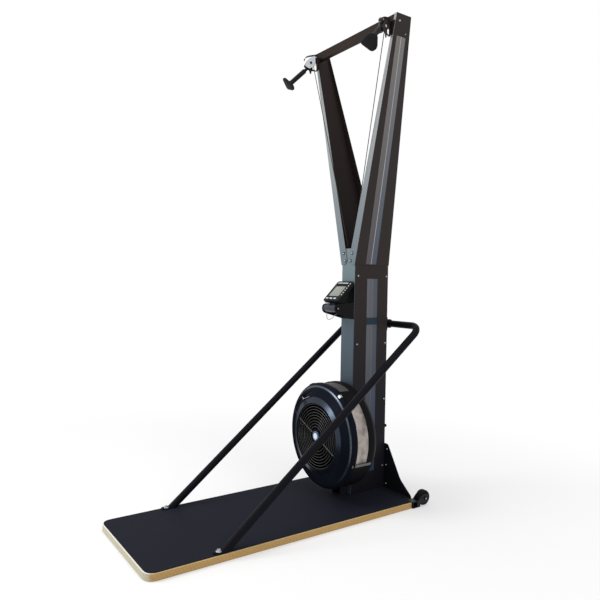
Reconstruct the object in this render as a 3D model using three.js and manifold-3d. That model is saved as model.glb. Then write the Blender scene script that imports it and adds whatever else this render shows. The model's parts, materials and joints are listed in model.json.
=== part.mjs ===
// Ski trainer machine: a pair of pull handles on cords that turn a fan, on a tower over a platform.
// Millimetres, +Z up. The user stands on the platform facing +Y, with +X on the right hand.
// The origin is on the floor, in the middle of the machine's width and length.
import * as THREE from 'three';
import { mergeGeometries, mergeVertices } from 'three/addons/utils/BufferGeometryUtils.js';
import Module from 'manifold-3d';

const wasm = await Module();
wasm.setup();

// Fits shared by all sub-parts
const seatGap = 0.3;
const runningGap = 1.5;
const cutOverrun = 4;
const weldLap = 2;
const mergeTolerance = 0.0001;

// Fineness of curved faces, as counts
const rimSides = 32;
const discSides = 20;
const wheelSides = 16;
const rodSides = 12;
const pinSides = 8;
const screwSides = 6;
const cornerSteps = 3;
const smallSteps = 2;
const bendSteps = 5;
const cordSides = 8;

// Platform
const boardRearAhead = 30;
const boardWidth = 530;
const boardThickness = 26;
const boardCornerRadius = 45;
const boardRearRadius = 6;
const matThickness = 3;
const matMargin = 4;
const footHeight = 2;
const footRadius = 17;
const crossPadRadius = 12;
const footInset = 40;
const deckTop = footHeight + boardThickness + seatGap + matThickness;
const deckSeat = deckTop + seatGap;

// Tower column: front and rear channels closed by two side sheets
const towerHeight = 2150;
const columnWidth = 96;
const columnDepth = 209;
const columnTop = 1095;
const columnSetback = 1055;
const columnSheet = 2.5;
const columnCornerRadius = 4;
const channelReturn = 38;
const sideSheet = 2;
const sideInset = 3;
const tongueTop = 1172;
const tongueWidth = 80;

// Rear cross member, back plate and transport wheels
const crossHalf = 271.5;
const crossWall = 2.5;
const backPlateThickness = 3;
const backPlateTop = 243;
const backPlateTopHalf = 66;
const backPlateShoulderHalf = 79;
const backPlateShoulderHeight = 223;
const backPlateKneeHalf = 154;
const backPlateKneeHeight = 97;
const backPlateFootHalf = 226;
const backPlateFootHeight = 38;
const backPlateRound = 14;
const wheelRadius = 34;
const wheelWidth = 27;
const wheelHubRadius = 13;
const wheelAxleHeight = 35.5;
const wheelAxleRadius = 5;
const wheelForkThickness = 3;
const wheelForkLug = 21;
const wheelForkHeel = 31;
const wheelTreadDepth = 8;
const wheelRecess = 4;
const wheelClearance = 9.7;
const boltFlangeHeight = 5;
const boltFlangeRadius = 8;

// Places along the machine, worked out from the platform's front edge
const columnRearBack = columnSetback + columnDepth;
const plateRearBack = columnRearBack + seatGap + backPlateThickness;
const wheelAxleBack = plateRearBack + wheelClearance + wheelRadius;
const overallLength = wheelAxleBack + wheelRadius;
const frontY = -overallLength / 2;
const columnFrontY = frontY + columnSetback;
const columnRearY = frontY + columnRearBack;
const boardRearY = columnRearY - boardRearAhead;
const plateRearY = frontY + plateRearBack;
const wheelAxleY = frontY + wheelAxleBack;
const columnHalf = columnWidth / 2;
const boardHalf = boardWidth / 2;

// Tapered arms and their cross bar
const armSheet = 2.5;
const armTopHalf = 292;
const armTopDepth = 81;
const armFlangeFoot = 47.5;
const armFlangeHead = 14;
const armFootRadius = 30;
const armBoltHeights = [1150, 1115];
const armBoltReaches = [30.5, 19.5];
const armBoltRadius = 4.5;
const crossBarHeight = 40;
const crossBarDepth = 22;
const crossBarWall = 2;

// Head pulleys, cords and handles
const pulleyInset = 15.4;
const pulleyDrop = 63;
const pulleyAhead = 50;
const pulleyGrooveRadius = 10.5;
const pulleyRimRadius = 15.5;
const pulleyWidth = 13;
const pulleyPinRadius = 4;
const pinHeadRadius = 6;
const pinHeadHeight = 2.4;
const plateThickness = 3;
const plateGap = 2.1;
const plateHead = 35;
const plateCorner = 8;
const blockTurn = 21;
const webNear = 17;
const webThickness = 3;
const webLow = -8;
const webHigh = 30;
const frontPlateShares = [
  [-0.94, -0.46, 1],
  [-0.46, 0.4, 0.6],
  [0.37, 1, 0.4],
];
const innerPlateShares = [
  [0.6, 0.95, 0.4],
  [0.66, -0.31, 0.5],
  [-0.24, -0.86, 1],
];
const outerPlateShares = [
  [2, 1, 0],
  [2, -0.57, 0],
  [1.35, -0.57, 0.5],
  [1.1, -0.93, 0.8],
  [0.25, -0.93, 0.3],
  [0.2, -1.33, 0.2],
  [0.02, -1.33, 0.2],
  [-0.1, -0.9, 0.3],
];
const plateWindowShares = [
  [0.38, -0.7, 0.5],
  [0.95, -0.82, 0.5],
  [0.95, 0.2, 0.5],
  [0.42, 0.05, 0.5],
];
const mountDrop = 22;
const mountReach = 14;
const cordRadius = 1.75;
const leftPullDrop = 44;
const rightPullDrop = 45.3;
const leftHandleUnder = 8;
const rightHandleUnder = -12.8;
const handleAhead = 21;
const handleTipRadius = 7;
const handleTipLength = 24;
const handleGripRadius = 11.5;
const handleGripLength = 91;
const handleEndHalf = 44;
const handleEndThickness = 12;
const handleEndCrown = 4;
const handleNeckLength = 14;
const handleNeckRadius = 17;
const handleEndShares = [
  [-0.9, 0.12, 0.5],
  [0.1, -1.05, 0.45],
  [1.1, 0.6, 0.45],
];

// Guide rollers at the column's head and cord spools on the fan's axle
const rollerRadius = 12;
const rollerFlangeRadius = 16;
const rollerWidth = 10;
const rollerHeight = 1118;
const rollerBack = 15.7;
const rollerPinRadius = 4;
const cordHalfSpacing = 2.1;
const bracketSheet = 2.5;
const spoolCoreRadius = 24.5;
const spoolFlangeRadius = 38;
const spoolWidth = 20;
const spoolFlange = 2;
const spoolFirstBack = 16;
const spoolPitch = 24;

// Fan
const fanHeight = 317;
const fanRimRadius = 238;
const fanWall = 2.5;
const fanLipAhead = 175;
const fanBevelAhead = 167;
const fanShoulderAhead = 151;
const fanRimAhead = 136;
const fanCoverBackAhead = 123;
const fanBandBackAhead = 60;
const grilleRadius = 147;
const bevelRadius = 175;
const shoulderRadius = 222;
const grilleHubRadius = 32;
const grilleRings = 9;
const grilleBar = 3.4;
const grilleDepth = 3;
const grilleRecess = 5;
const grilleSpokes = 4;
const grilleSpokeTurn = 155;
const hubCapRadius = 23;
const hubCapHeight = 4;
const rearSlopeDepth = 30;
const rearSlopeHeight = 34;
const bandInset = 5;
const bandWall = 1.5;
const bandLowerStart = 202;
const bandLowerEnd = 338;
const bandBlockStart = 47;
const bandBlockEnd = 64;
const damperSlotStart = 106;
const damperSlotEnd = 148;
const damperRadius = 199;
const damperSlotHalf = 5;
const damperLeverHalf = 3;
const damperLeverTurn = 124;
const damperRingHalf = 13;
const damperRingThickness = 2;
const damperGap = 0.6;
const damperLeverProud = 12;
const clipCount = 8;
const clipTurn = 22.5;
const clipWidth = 26;
const clipHeight = 3;
const impellerRadius = 205;
const impellerHubRadius = 34;
const impellerBlades = 20;
const bladeThickness = 2.2;
const bladeInset = 20;
const bladeBow = 9;
const bladeFrontAhead = 142;
const bladeBackAhead = 40;
const impellerDiscThickness = 3;
const axleRadius = 8.5;
const axleFrontAhead = 160;
const axleRearBack = 78;
const bearingRadius = 17.5;
const bearingWidth = 11;
const bearingBossRadius = 26;
const fanFootHalf = 30;
const fanFootDepth = 46;
const fanFootSheet = 3;
const fanFootAhead = 52;

// Brace bar
const braceRadius = 16;
const braceHalf = 247;
const braceFootBack = 300;
const braceBackGap = 3;
const braceHeight = 820;
const braceBendRadius = 58;
const braceTabHalf = 20;
const braceTabLength = 62;
const braceTabThickness = 5;
const braceTabRound = 14;
const braceBoltAhead = 22;
const braceBoltRadius = 5;
const clampHalf = 44;
const clampWall = 5;
const clampFlangeHeight = 62;
const clampFlangeThickness = 4;

// Monitor, in its own frame: x across, y into the screen, z up the screen
const tiltAxisAhead = 95;
const tiltAxisHeight = 895.5;
const monitorTilt = 45;
const monitorHalf = 56;
const monitorHeight = 126;
const monitorFoot = 19;
const monitorFaceAhead = 30;
const monitorCorner = 9;
const bezelDepth = 10;
const backShellDepth = 5.5;
const backBoxHalf = 39;
const backBoxDepth = 22;
const backBoxFoot = 26;
const backBoxHeight = 66;
const lensHalf = 39;
const lensHeight = 66;
const lensFoot = 50;
const lensShift = -8;
const lensThickness = 2;
const lowerButtons = 3;
const sideButtons = 6;
const buttonProud = 2.2;
const buttonDepth = 6;
const buttonGap = 0.5;
const lowerButtonHalf = 9;
const lowerButtonHeightHalf = 4;
const lowerButtonPitch = 28;
const lowerButtonRise = 15;
const sideButtonRadius = 4;
const sideButtonPitch = 14;
const sideButtonInset = 9;
const sideButtonFirst = 40;
const barrelRadius = 17;
const barrelHalf = 44;
const barrelNeckHalf = 18;
const barrelNeckBack = 7;
const tiltBoltRadius = 5;
const cheekThickness = 3;
const cheekRadius = 19;
const bracketDrop = 49.5;
const bracketRise = 26.5;
const bracketPlate = 3;
const cableRadius = 1.25;
const cableHalf = 34;
const cableDrop = 38;

// Screws and bolts
const screwHoleRadius = 3.5;
const sideScrewHeights = [1046, 729, 460, 137];
const sideScrewFrontInset = 18;
const sideScrewRearInset = 11;

// Degrees in a whole turn
const fullTurn = 360;

// Turns a number of degrees into radians
const radians = (degrees) => THREE.MathUtils.degToRad(degrees);

// Drops normals and texture places, so that pieces of different classes can be joined
function bare(geometry) {
  const plain = geometry.index ? geometry.toNonIndexed() : geometry.clone();
  plain.deleteAttribute('normal');
  plain.deleteAttribute('uv');
  return plain;
}

// Puts separate solids into one geometry
function together(pieces) {
  return mergeGeometries(pieces.map(bare));
}

// Leaves out triangles that have two corners in one place
function realTriangles(index) {
  const kept = [];
  for (let corner = 0; corner < index.length; corner += 3) {
    const [a, b, c] = [index[corner], index[corner + 1], index[corner + 2]];
    if (a !== b && b !== c && c !== a) {
      kept.push(a, b, c);
    }
  }
  return kept;
}

// Volume inside a list of triangles, below zero where the faces point inwards
function signedVolume(geometry) {
  const position = geometry.attributes.position;
  const [a, b, c] = [new THREE.Vector3(), new THREE.Vector3(), new THREE.Vector3()];
  let sum = 0;
  for (let corner = 0; corner < position.count; corner += 3) {
    a.fromBufferAttribute(position, corner);
    b.fromBufferAttribute(position, corner + 1);
    c.fromBufferAttribute(position, corner + 2);
    sum += a.dot(b.cross(c));
  }
  return sum;
}

// Turns a geometry's faces outwards
function outward(geometry) {
  const plain = bare(geometry);
  if (signedVolume(plain) > 0) {
    return plain;
  }
  const position = plain.attributes.position;
  const first = new THREE.Vector3();
  const second = new THREE.Vector3();
  for (let corner = 0; corner < position.count; corner += 3) {
    first.fromBufferAttribute(position, corner + 1);
    second.fromBufferAttribute(position, corner + 2);
    position.setXYZ(corner + 1, second.x, second.y, second.z);
    position.setXYZ(corner + 2, first.x, first.y, first.z);
  }
  return plain;
}

// A closed geometry as a solid that can be cut and joined
function solid(geometry) {
  const merged = mergeVertices(bare(geometry), mergeTolerance);
  const vertProperties = new Float32Array(merged.attributes.position.array);
  const triVerts = new Uint32Array(realTriangles(merged.index.array));
  return new wasm.Manifold(new wasm.Mesh({ numProp: 3, vertProperties, triVerts }));
}

// A solid as a geometry again
function shaped(body) {
  const mesh = body.getMesh();
  const geometry = new THREE.BufferGeometry();
  geometry.setAttribute('position', new THREE.BufferAttribute(mesh.vertProperties, 3));
  geometry.setIndex(new THREE.BufferAttribute(mesh.triVerts, 1));
  return geometry;
}

// Joins geometries, then takes the cutters away
function joined(pieces, cutters = []) {
  let body = solid(pieces[0]);
  for (const piece of pieces.slice(1)) {
    body = body.add(solid(piece));
  }
  for (const cutter of cutters) {
    body = body.subtract(solid(cutter));
  }
  return shaped(body);
}

// A block between two corners
function block(lowX, highX, lowY, highY, lowZ, highZ) {
  const geometry = new THREE.BoxGeometry(highX - lowX, highY - lowY, highZ - lowZ);
  return geometry.translate((lowX + highX) / 2, (lowY + highY) / 2, (lowZ + highZ) / 2);
}

// A round rod along X, from one place to another, about (y, z)
function rodAlongX(radius, from, to, y, z, sides = rodSides) {
  const geometry = new THREE.CylinderGeometry(radius, radius, to - from, sides);
  return geometry.rotateZ(-Math.PI / 2).translate((from + to) / 2, y, z);
}

// A round rod along Y, about (x, z)
function rodAlongY(radius, from, to, x, z, sides = rodSides) {
  const geometry = new THREE.CylinderGeometry(radius, radius, to - from, sides);
  return geometry.translate(x, (from + to) / 2, z);
}

// A round rod along Z, about (x, y)
function rodAlongZ(radius, from, to, x, y, sides = rodSides) {
  const geometry = new THREE.CylinderGeometry(radius, radius, to - from, sides);
  return geometry.rotateX(Math.PI / 2).translate(x, y, (from + to) / 2);
}

// A closed profile of (radius, distance along the axis) turned about Y
function turned(profile, sides) {
  const points = profile.map(([radius, along]) => new THREE.Vector2(radius, along));
  return outward(new THREE.LatheGeometry(points, sides));
}

// A ring of rectangular section about Y
function ring(innerRadius, outerRadius, from, to, sides) {
  const profile = [
    [innerRadius, from],
    [outerRadius, from],
    [outerRadius, to],
    [innerRadius, to],
    [innerRadius, from],
  ];
  return turned(profile, sides);
}

// An outline of [x, y, corner radius], each corner rounded by a curve
function outline(corners) {
  const shape = new THREE.Shape();
  const stepTowards = (from, to, distance) => {
    const length = Math.hypot(to[0] - from[0], to[1] - from[1]);
    const share = distance / length;
    return [from[0] + (to[0] - from[0]) * share, from[1] + (to[1] - from[1]) * share];
  };
  corners.forEach((corner, index) => {
    const before = corners[(index + corners.length - 1) % corners.length];
    const after = corners[(index + 1) % corners.length];
    const arrive = stepTowards(corner, before, corner[2]);
    if (index === 0) {
      shape.moveTo(...arrive);
    } else {
      shape.lineTo(...arrive);
    }
    if (corner[2] > 0) {
      shape.quadraticCurveTo(corner[0], corner[1], ...stepTowards(corner, after, corner[2]));
    }
  });
  shape.closePath();
  return shape;
}

// An outline with its mirror image, given from its foot to its head on the +X side
function mirrored(corners) {
  const left = corners.map(([x, y, radius]) => [-x, y, radius]).reverse();
  return outline([...corners, ...left]);
}

// A rounded rectangle about (x, y)
function roundedBox(x, y, half, halfHeight, radius) {
  return outline([
    [x - half, y - halfHeight, radius],
    [x + half, y - halfHeight, radius],
    [x + half, y + halfHeight, radius],
    [x - half, y + halfHeight, radius],
  ]);
}

function extruded(shape, depth, curveSegments = cornerSteps) {
  return new THREE.ExtrudeGeometry(shape, { depth, bevelEnabled: false, curveSegments });
}

// A sheet whose outline lies flat, between two heights
function flatSheet(shape, low, high, curveSegments) {
  return extruded(shape, high - low, curveSegments).translate(0, 0, low);
}

// A sheet whose outline is drawn in X and Z, between two places along Y
function frontSheet(shape, near, far, curveSegments) {
  return extruded(shape, far - near, curveSegments).rotateX(Math.PI / 2).translate(0, far, 0);
}

// A sheet whose outline is drawn in Y and Z, between two places along X
function sideSheetBody(shape, near, far, curveSegments) {
  const geometry = extruded(shape, far - near, curveSegments);
  return geometry.rotateX(Math.PI / 2).rotateZ(Math.PI / 2).translate(near, 0, 0);
}

// A closed skin over sections that have the same number of corners
function lofted(sections) {
  const count = sections[0].length;
  const flat = sections[0].map((point) => new THREE.Vector2(point.x, point.y));
  const cap = THREE.ShapeUtils.triangulateShape(flat, []);
  const positions = [];
  const addTriangle = (a, b, c) => positions.push(...a.toArray(), ...b.toArray(), ...c.toArray());
  const last = sections.length - 1;
  for (const [a, b, c] of cap) {
    addTriangle(sections[0][c], sections[0][b], sections[0][a]);
    addTriangle(sections[last][a], sections[last][b], sections[last][c]);
  }
  for (let level = 0; level < last; level += 1) {
    for (let corner = 0; corner < count; corner += 1) {
      const next = (corner + 1) % count;
      addTriangle(sections[level][corner], sections[level][next], sections[level + 1][next]);
      addTriangle(sections[level][corner], sections[level + 1][next], sections[level + 1][corner]);
    }
  }
  const geometry = new THREE.BufferGeometry();
  geometry.setAttribute('position', new THREE.Float32BufferAttribute(positions, 3));
  return outward(geometry);
}

// A path that is read at its own stations, which lie close together only in its bends
class StationPath extends THREE.Curve {
  constructor(stations) {
    super();
    this.stations = stations;
  }

  getPoint(t, target = new THREE.Vector3()) {
    const last = this.stations.length - 1;
    const index = Math.min(Math.floor(t * last), last - 1);
    return target.lerpVectors(this.stations[index], this.stations[index + 1], t * last - index);
  }

  getPointAt(t, target) {
    return this.getPoint(t, target);
  }

  getTangentAt(t, target = new THREE.Vector3()) {
    const last = this.stations.length - 1;
    const index = Math.round(t * last);
    const here = this.stations[index];
    const arriving = here.clone().sub(this.stations[Math.max(index - 1, 0)]).normalize();
    const leaving = this.stations[Math.min(index + 1, last)].clone().sub(here).normalize();
    return target.copy(arriving).add(leaving).normalize();
  }
}

// The stations of a path with straight runs and round bends, from [corner, bend radius] pairs
function bentStations(corners, steps = bendSteps) {
  const stations = [corners[0][0].clone()];
  for (let index = 1; index < corners.length - 1; index += 1) {
    const [corner, radius] = corners[index];
    const back = corners[index - 1][0].clone().sub(corner).normalize();
    const ahead = corners[index + 1][0].clone().sub(corner).normalize();
    const halfAngle = back.angleTo(ahead) / 2;
    const turn = Math.PI - 2 * halfAngle;
    const middle = back.clone().add(ahead).normalize();
    const centre = middle.multiplyScalar(radius / Math.sin(halfAngle)).add(corner);
    const reach = radius / Math.tan(halfAngle);
    const from = back.multiplyScalar(reach).add(corner).sub(centre);
    const to = ahead.multiplyScalar(reach).add(corner).sub(centre);
    for (let step = 0; step <= steps; step += 1) {
      const share = step / steps;
      const before = Math.sin((1 - share) * turn) / Math.sin(turn);
      const after = Math.sin(share * turn) / Math.sin(turn);
      const spoke = from.clone().multiplyScalar(before).addScaledVector(to, after);
      stations.push(spoke.add(centre));
    }
  }
  stations.push(corners[corners.length - 1][0].clone());
  return stations;
}

// A round bar or cord along stations
function tubeAlong(stations, radius, sides) {
  const section = new THREE.Shape();
  for (let side = 0; side < sides; side += 1) {
    const angle = (side / sides) * 2 * Math.PI;
    const place = [radius * Math.cos(angle), radius * Math.sin(angle)];
    if (side === 0) {
      section.moveTo(...place);
    } else {
      section.lineTo(...place);
    }
  }
  section.closePath();
  const extrudePath = new StationPath(stations);
  return outward(new THREE.ExtrudeGeometry(section, { steps: stations.length - 1, extrudePath }));
}

const point = (x, y, z) => new THREE.Vector3(x, y, z);

const machine = new THREE.Group();

// Adds one named piece with its own finish
function addPiece(name, geometry, [color, roughness, metalness], parent = machine) {
  const plain = bare(geometry);
  plain.computeVertexNormals();
  const material = new THREE.MeshStandardMaterial({ color, roughness, metalness });
  const mesh = new THREE.Mesh(plain, material);
  mesh.name = name;
  parent.add(mesh);
}

// Finishes: colour, roughness, metalness
const satinBlack = ['#26282b', 0.45, 0.3];
const blueGrey = ['#6d7f88', 0.4, 0.5];
const darkSheet = ['#332e2e', 0.5, 0.4];
const birchPly = ['#c9a063', 0.6, 0];
const matRubber = ['#1d2026', 0.9, 0];
const blackRubber = ['#17181a', 0.85, 0];
const glossBlack = ['#16181d', 0.25, 0];
const brightSteel = ['#c3c7cb', 0.3, 1];
const meshSteel = ['#8d857b', 0.6, 0.4];
const blackPlastic = ['#1c1d20', 0.5, 0];
const paleBlue = ['#b9cfe4', 0.4, 0];
const cordBlack = ['#202020', 0.8, 0];
const aluminium = ['#a9adb0', 0.4, 0.9];
const lensGrey = ['#7d8574', 0.2, 0];
const buttonGrey = ['#a7abad', 0.5, 0];

// A round pad that a part stands on
function floorPad(x, y) {
  return rodAlongZ(footRadius, 0, footHeight + weldLap, x, y);
}

// A smaller pad under the cross member
function crossPad(x, y) {
  return rodAlongZ(crossPadRadius, 0, footHeight + weldLap, x, y);
}

const padReach = boardHalf - footInset;

// Platform board on its pads, and the mat on it
function addPlatform() {
  const board = outline([
    [-boardHalf, frontY, boardCornerRadius],
    [boardHalf, frontY, boardCornerRadius],
    [boardHalf, boardRearY, boardRearRadius],
    [-boardHalf, boardRearY, boardRearRadius],
  ]);
  const boardTop = footHeight + boardThickness;
  const pieces = [flatSheet(board, footHeight, boardTop, bendSteps)];
  for (const y of [frontY + boardCornerRadius + footInset, (frontY + boardRearY) / 2]) {
    pieces.push(floorPad(-padReach, y), floorPad(padReach, y));
  }
  addPiece('platform_board', joined(pieces), birchPly);
  const mat = outline([
    [matMargin - boardHalf, frontY + matMargin, boardCornerRadius - matMargin],
    [boardHalf - matMargin, frontY + matMargin, boardCornerRadius - matMargin],
    [boardHalf - matMargin, boardRearY, 0],
    [matMargin - boardHalf, boardRearY, 0],
  ]);
  addPiece('platform_mat', flatSheet(mat, boardTop + seatGap, deckTop, bendSteps), matRubber);
}

// Rear cross member with a fork for each transport wheel
function addCrossMember() {
  const tubeFrontY = boardRearY + seatGap;
  const ends = [-crossHalf - cutOverrun, crossHalf + cutOverrun];
  const tube = block(-crossHalf, crossHalf, tubeFrontY, columnRearY, footHeight, deckTop);
  const hollowRows = [tubeFrontY + crossWall, columnRearY - crossWall];
  const hollow = block(...ends, ...hollowRows, footHeight + crossWall, deckTop - crossWall);
  const lugLow = wheelAxleHeight - wheelForkLug;
  const lugHigh = wheelAxleHeight + wheelForkLug;
  const lugFar = wheelAxleY + wheelForkLug;
  const lug = outline([
    [columnRearY - weldLap, footHeight, 0],
    [wheelAxleY - wheelForkHeel, footHeight, 0],
    [wheelAxleY - wheelForkHeel, lugLow, 0],
    [lugFar, lugLow, wheelForkLug],
    [lugFar, lugHigh, wheelForkLug],
    [wheelAxleY - wheelForkLug, lugHigh, wheelForkLug],
    [columnRearY + wheelRecess, deckTop, wheelRecess],
    [columnRearY - weldLap, deckTop, 0],
  ]);
  const wheelFar = crossHalf - wheelForkThickness - runningGap;
  const wheelNear = wheelFar - wheelWidth;
  const innerPlace = wheelNear - runningGap - wheelForkThickness;
  const lugs = [];
  for (const place of [crossHalf - wheelForkThickness, innerPlace]) {
    const far = place + wheelForkThickness;
    lugs.push(sideSheetBody(lug, place, far), sideSheetBody(lug, -far, -place));
  }
  const boreRadius = wheelAxleRadius + seatGap;
  const axleHole = rodAlongX(boreRadius, ...ends, wheelAxleY, wheelAxleHeight);
  const member = joined([tube, ...lugs], [hollow, axleHole]);
  const middleY = (tubeFrontY + columnRearY) / 2;
  const pads = [crossPad(-padReach, middleY), crossPad(padReach, middleY)];
  addPiece('rear_crossmember', joined([member, ...pads]), satinBlack);
  addWheels([wheelNear, wheelFar], [innerPlace - seatGap, crossHalf + seatGap]);
}

// Transport wheels, and a headed bolt through each fork
function addWheels(wheelEnds, boltEnds) {
  const boreRadius = wheelAxleRadius + seatGap;
  const flank = wheelRadius - wheelTreadDepth;
  const farRecess = wheelWidth - wheelRecess;
  const wheelProfile = [
    [boreRadius, 0],
    [wheelHubRadius, 0],
    [wheelHubRadius, wheelRecess],
    [flank, wheelRecess],
    [wheelRadius - wheelRecess, 0],
    [wheelRadius, wheelRecess],
    [wheelRadius, farRecess],
    [wheelRadius - wheelRecess, wheelWidth],
    [flank, farRecess],
    [wheelHubRadius, farRecess],
    [wheelHubRadius, wheelWidth],
    [boreRadius, wheelWidth],
    [boreRadius, 0],
  ];
  const axis = [wheelAxleY, wheelAxleHeight];
  for (const [label, side] of [['left', -1], ['right', 1]]) {
    const wheel = turned(wheelProfile, wheelSides).rotateZ(-Math.PI / 2);
    const start = side > 0 ? wheelEnds[0] : -wheelEnds[1];
    addPiece(`${label}_wheel`, wheel.translate(start, ...axis), blackRubber);
    const [low, high] = side > 0 ? boltEnds : [-boltEnds[1], -boltEnds[0]];
    const head = boltFlangeHeight;
    const bolt = [
      rodAlongX(wheelAxleRadius, low - head, high + head, ...axis),
      rodAlongX(boltFlangeRadius, low - head, low, ...axis, screwSides),
      rodAlongX(boltFlangeRadius, high, high + head, ...axis, screwSides),
    ];
    addPiece(`${label}_wheel_bolt`, joined(bolt), brightSteel);
  }
}

// Plate that ties the column's back to the cross member
function addBackPlate() {
  const shape = mirrored([
    [backPlateFootHalf, footHeight, 0],
    [backPlateFootHalf, backPlateFootHeight, boltFlangeHeight],
    [backPlateKneeHalf, backPlateKneeHeight, backPlateRound],
    [backPlateShoulderHalf, backPlateShoulderHeight, backPlateRound],
    [backPlateTopHalf, backPlateTop, backPlateRound / 2],
  ]);
  const near = columnRearY + seatGap;
  addPiece('back_plate', frontSheet(shape, near, plateRearY), satinBlack);
}

// Outline of a column channel in plan, open towards the column's middle
function channelShape(faceY, inwards) {
  const half = columnHalf - sideSheet - seatGap;
  const edge = faceY + inwards * channelReturn;
  const inner = faceY + inwards * columnSheet;
  return outline([
    [-half, edge, 0],
    [-half, faceY, columnCornerRadius],
    [half, faceY, columnCornerRadius],
    [half, edge, 0],
    [half - columnSheet, edge, 0],
    [half - columnSheet, inner, 0],
    [columnSheet - half, inner, 0],
    [columnSheet - half, edge, 0],
  ]);
}

// Column: front channel with a tongue between the arms, rear channel and side sheets
function addColumn() {
  const innerTop = columnTop - seatGap;
  const front = flatSheet(channelShape(columnFrontY, 1), deckSeat, innerTop);
  const tongue = mirrored([
    [tongueWidth / 2, columnTop - channelReturn, 0],
    [tongueWidth / 2, tongueTop, columnCornerRadius],
  ]);
  const tongueSheet = frontSheet(tongue, columnFrontY, columnFrontY + columnSheet);
  const axleHole = rodAlongY(
    axleRadius + runningGap,
    columnFrontY - cutOverrun,
    columnFrontY + channelReturn,
    0,
    fanHeight,
    discSides,
  );
  const boltHoles = [];
  armBoltHeights.forEach((height, index) => {
    for (const side of [-1, 1]) {
      const place = [side * armBoltReaches[index], height];
      const reach = [columnFrontY - cutOverrun, columnFrontY + columnSheet + cutOverrun];
      boltHoles.push(rodAlongY(armBoltRadius + seatGap, ...reach, ...place, screwSides));
    }
  });
  addPiece('column_front', joined([front, tongueSheet], [axleHole, ...boltHoles]), blueGrey);
  const rear = flatSheet(channelShape(columnRearY, -1), deckSeat, innerTop);
  addPiece('column_rear', rear, darkSheet);

  const sheetFrontY = columnFrontY + sideInset;
  const sheetRearY = columnRearY - sideInset;
  const screwRows = [sheetFrontY + sideScrewFrontInset, sheetRearY - sideScrewRearInset];
  for (const [name, side] of [['column_left_side', -1], ['column_right_side', 1]]) {
    const near = side > 0 ? columnHalf - sideSheet : -columnHalf;
    const sheet = block(near, near + sideSheet, sheetFrontY, sheetRearY, deckSeat, innerTop);
    const holes = [];
    for (const height of sideScrewHeights) {
      for (const y of screwRows) {
        const hole = [near - cutOverrun, near + sideSheet + cutOverrun, y, height];
        holes.push(rodAlongX(screwHoleRadius, ...hole, screwSides));
      }
    }
    addPiece(name, joined([sheet], holes), darkSheet);
  }
}

// How far an arm's outer face stands from the middle at a height
function armOuter(height) {
  const share = (height - columnTop) / (towerHeight - columnTop);
  return columnHalf + (armTopHalf - columnHalf) * share;
}

// An arm's slanted sheet, measured level
const armWeb = armSheet * Math.hypot(1, (armTopHalf - columnHalf) / (towerHeight - columnTop));

// Where an arm's front face lies, ahead of the column's tongue
const armFrontY = columnFrontY - seatGap - armSheet;

// One arm's section in plan at a height, open towards the middle, for the +X side
function armSection(height) {
  const share = (height - columnTop) / (towerHeight - columnTop);
  const outer = armOuter(height);
  const flange = armFlangeFoot + (armFlangeHead - armFlangeFoot) * share;
  const rearY = columnRearY - (columnDepth - armTopDepth) * share;
  const web = armWeb;
  return [
    point(outer, armFrontY, height),
    point(outer, rearY, height),
    point(outer - flange, rearY, height),
    point(outer - flange, rearY - armSheet, height),
    point(outer - web, rearY - armSheet, height),
    point(outer - web, armFrontY + armSheet, height),
    point(outer - flange, armFrontY + armSheet, height),
    point(outer - flange, armFrontY, height),
  ];
}

// The piece that is cut off an arm's front flange to round its foot
function armFootCutter() {
  const innerEdge = columnHalf - armFlangeFoot;
  const outerEdge = columnHalf - armSheet * 2;
  const low = columnTop - cutOverrun;
  const corner = new THREE.Shape();
  corner.moveTo(innerEdge - cutOverrun, low);
  corner.lineTo(outerEdge, low);
  corner.lineTo(outerEdge, columnTop + seatGap);
  corner.quadraticCurveTo(
    innerEdge + cutOverrun,
    columnTop + seatGap * 2,
    innerEdge + armFootRadius / 4,
    columnTop + armFootRadius,
  );
  corner.lineTo(innerEdge - cutOverrun, columnTop + armFootRadius);
  corner.closePath();
  return frontSheet(corner, armFrontY - cutOverrun, armFrontY + armSheet + seatGap, bendSteps);
}

// Both arms and the bar across their heads
function addArms() {
  const foot = columnTop + seatGap;
  const arm = lofted([armSection(foot), armSection(towerHeight)]);
  for (const [name, side] of [['left_arm', -1], ['right_arm', 1]]) {
    const holes = [];
    armBoltHeights.forEach((height, index) => {
      const place = [armBoltReaches[index], height];
      const through = [armFrontY - cutOverrun, armFrontY + armSheet + cutOverrun];
      holes.push(rodAlongY(armBoltRadius + seatGap, ...through, ...place, screwSides));
    });
    const body = joined([arm], [armFootCutter(), ...holes]);
    if (side < 0) {
      body.scale(-1, 1, 1);
    }
    addPiece(name, outward(body), darkSheet);
  }

  const nearY = columnFrontY;
  const farY = nearY + crossBarDepth;
  const lowZ = towerHeight - crossBarHeight;
  const inset = armWeb + seatGap;
  const bar = mirrored([
    [armOuter(lowZ) - inset, lowZ, 0],
    [armOuter(towerHeight) - inset, towerHeight, 0],
  ]);
  const hollow = block(
    -armTopHalf,
    armTopHalf,
    nearY + crossBarWall,
    farY - crossBarWall,
    lowZ + crossBarWall,
    towerHeight - crossBarWall,
  );
  addPiece('top_crossbar', joined([frontSheet(bar, nearY, farY)], [hollow]), darkSheet);
}

const pulleyY = columnFrontY - pulleyAhead;
const pulleyHeight = towerHeight - pulleyDrop;
const pulleyReach = armOuter(pulleyHeight) - pulleyInset;
const pulleyCordRadius = pulleyGrooveRadius + cordRadius + seatGap * 2;

// Places a geometry, drawn about a pulley's centre, on the head of an arm
function onBlock(geometry, side) {
  geometry.rotateZ(side * radians(blockTurn));
  return geometry.translate(side * pulleyReach, pulleyY, pulleyHeight);
}

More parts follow.
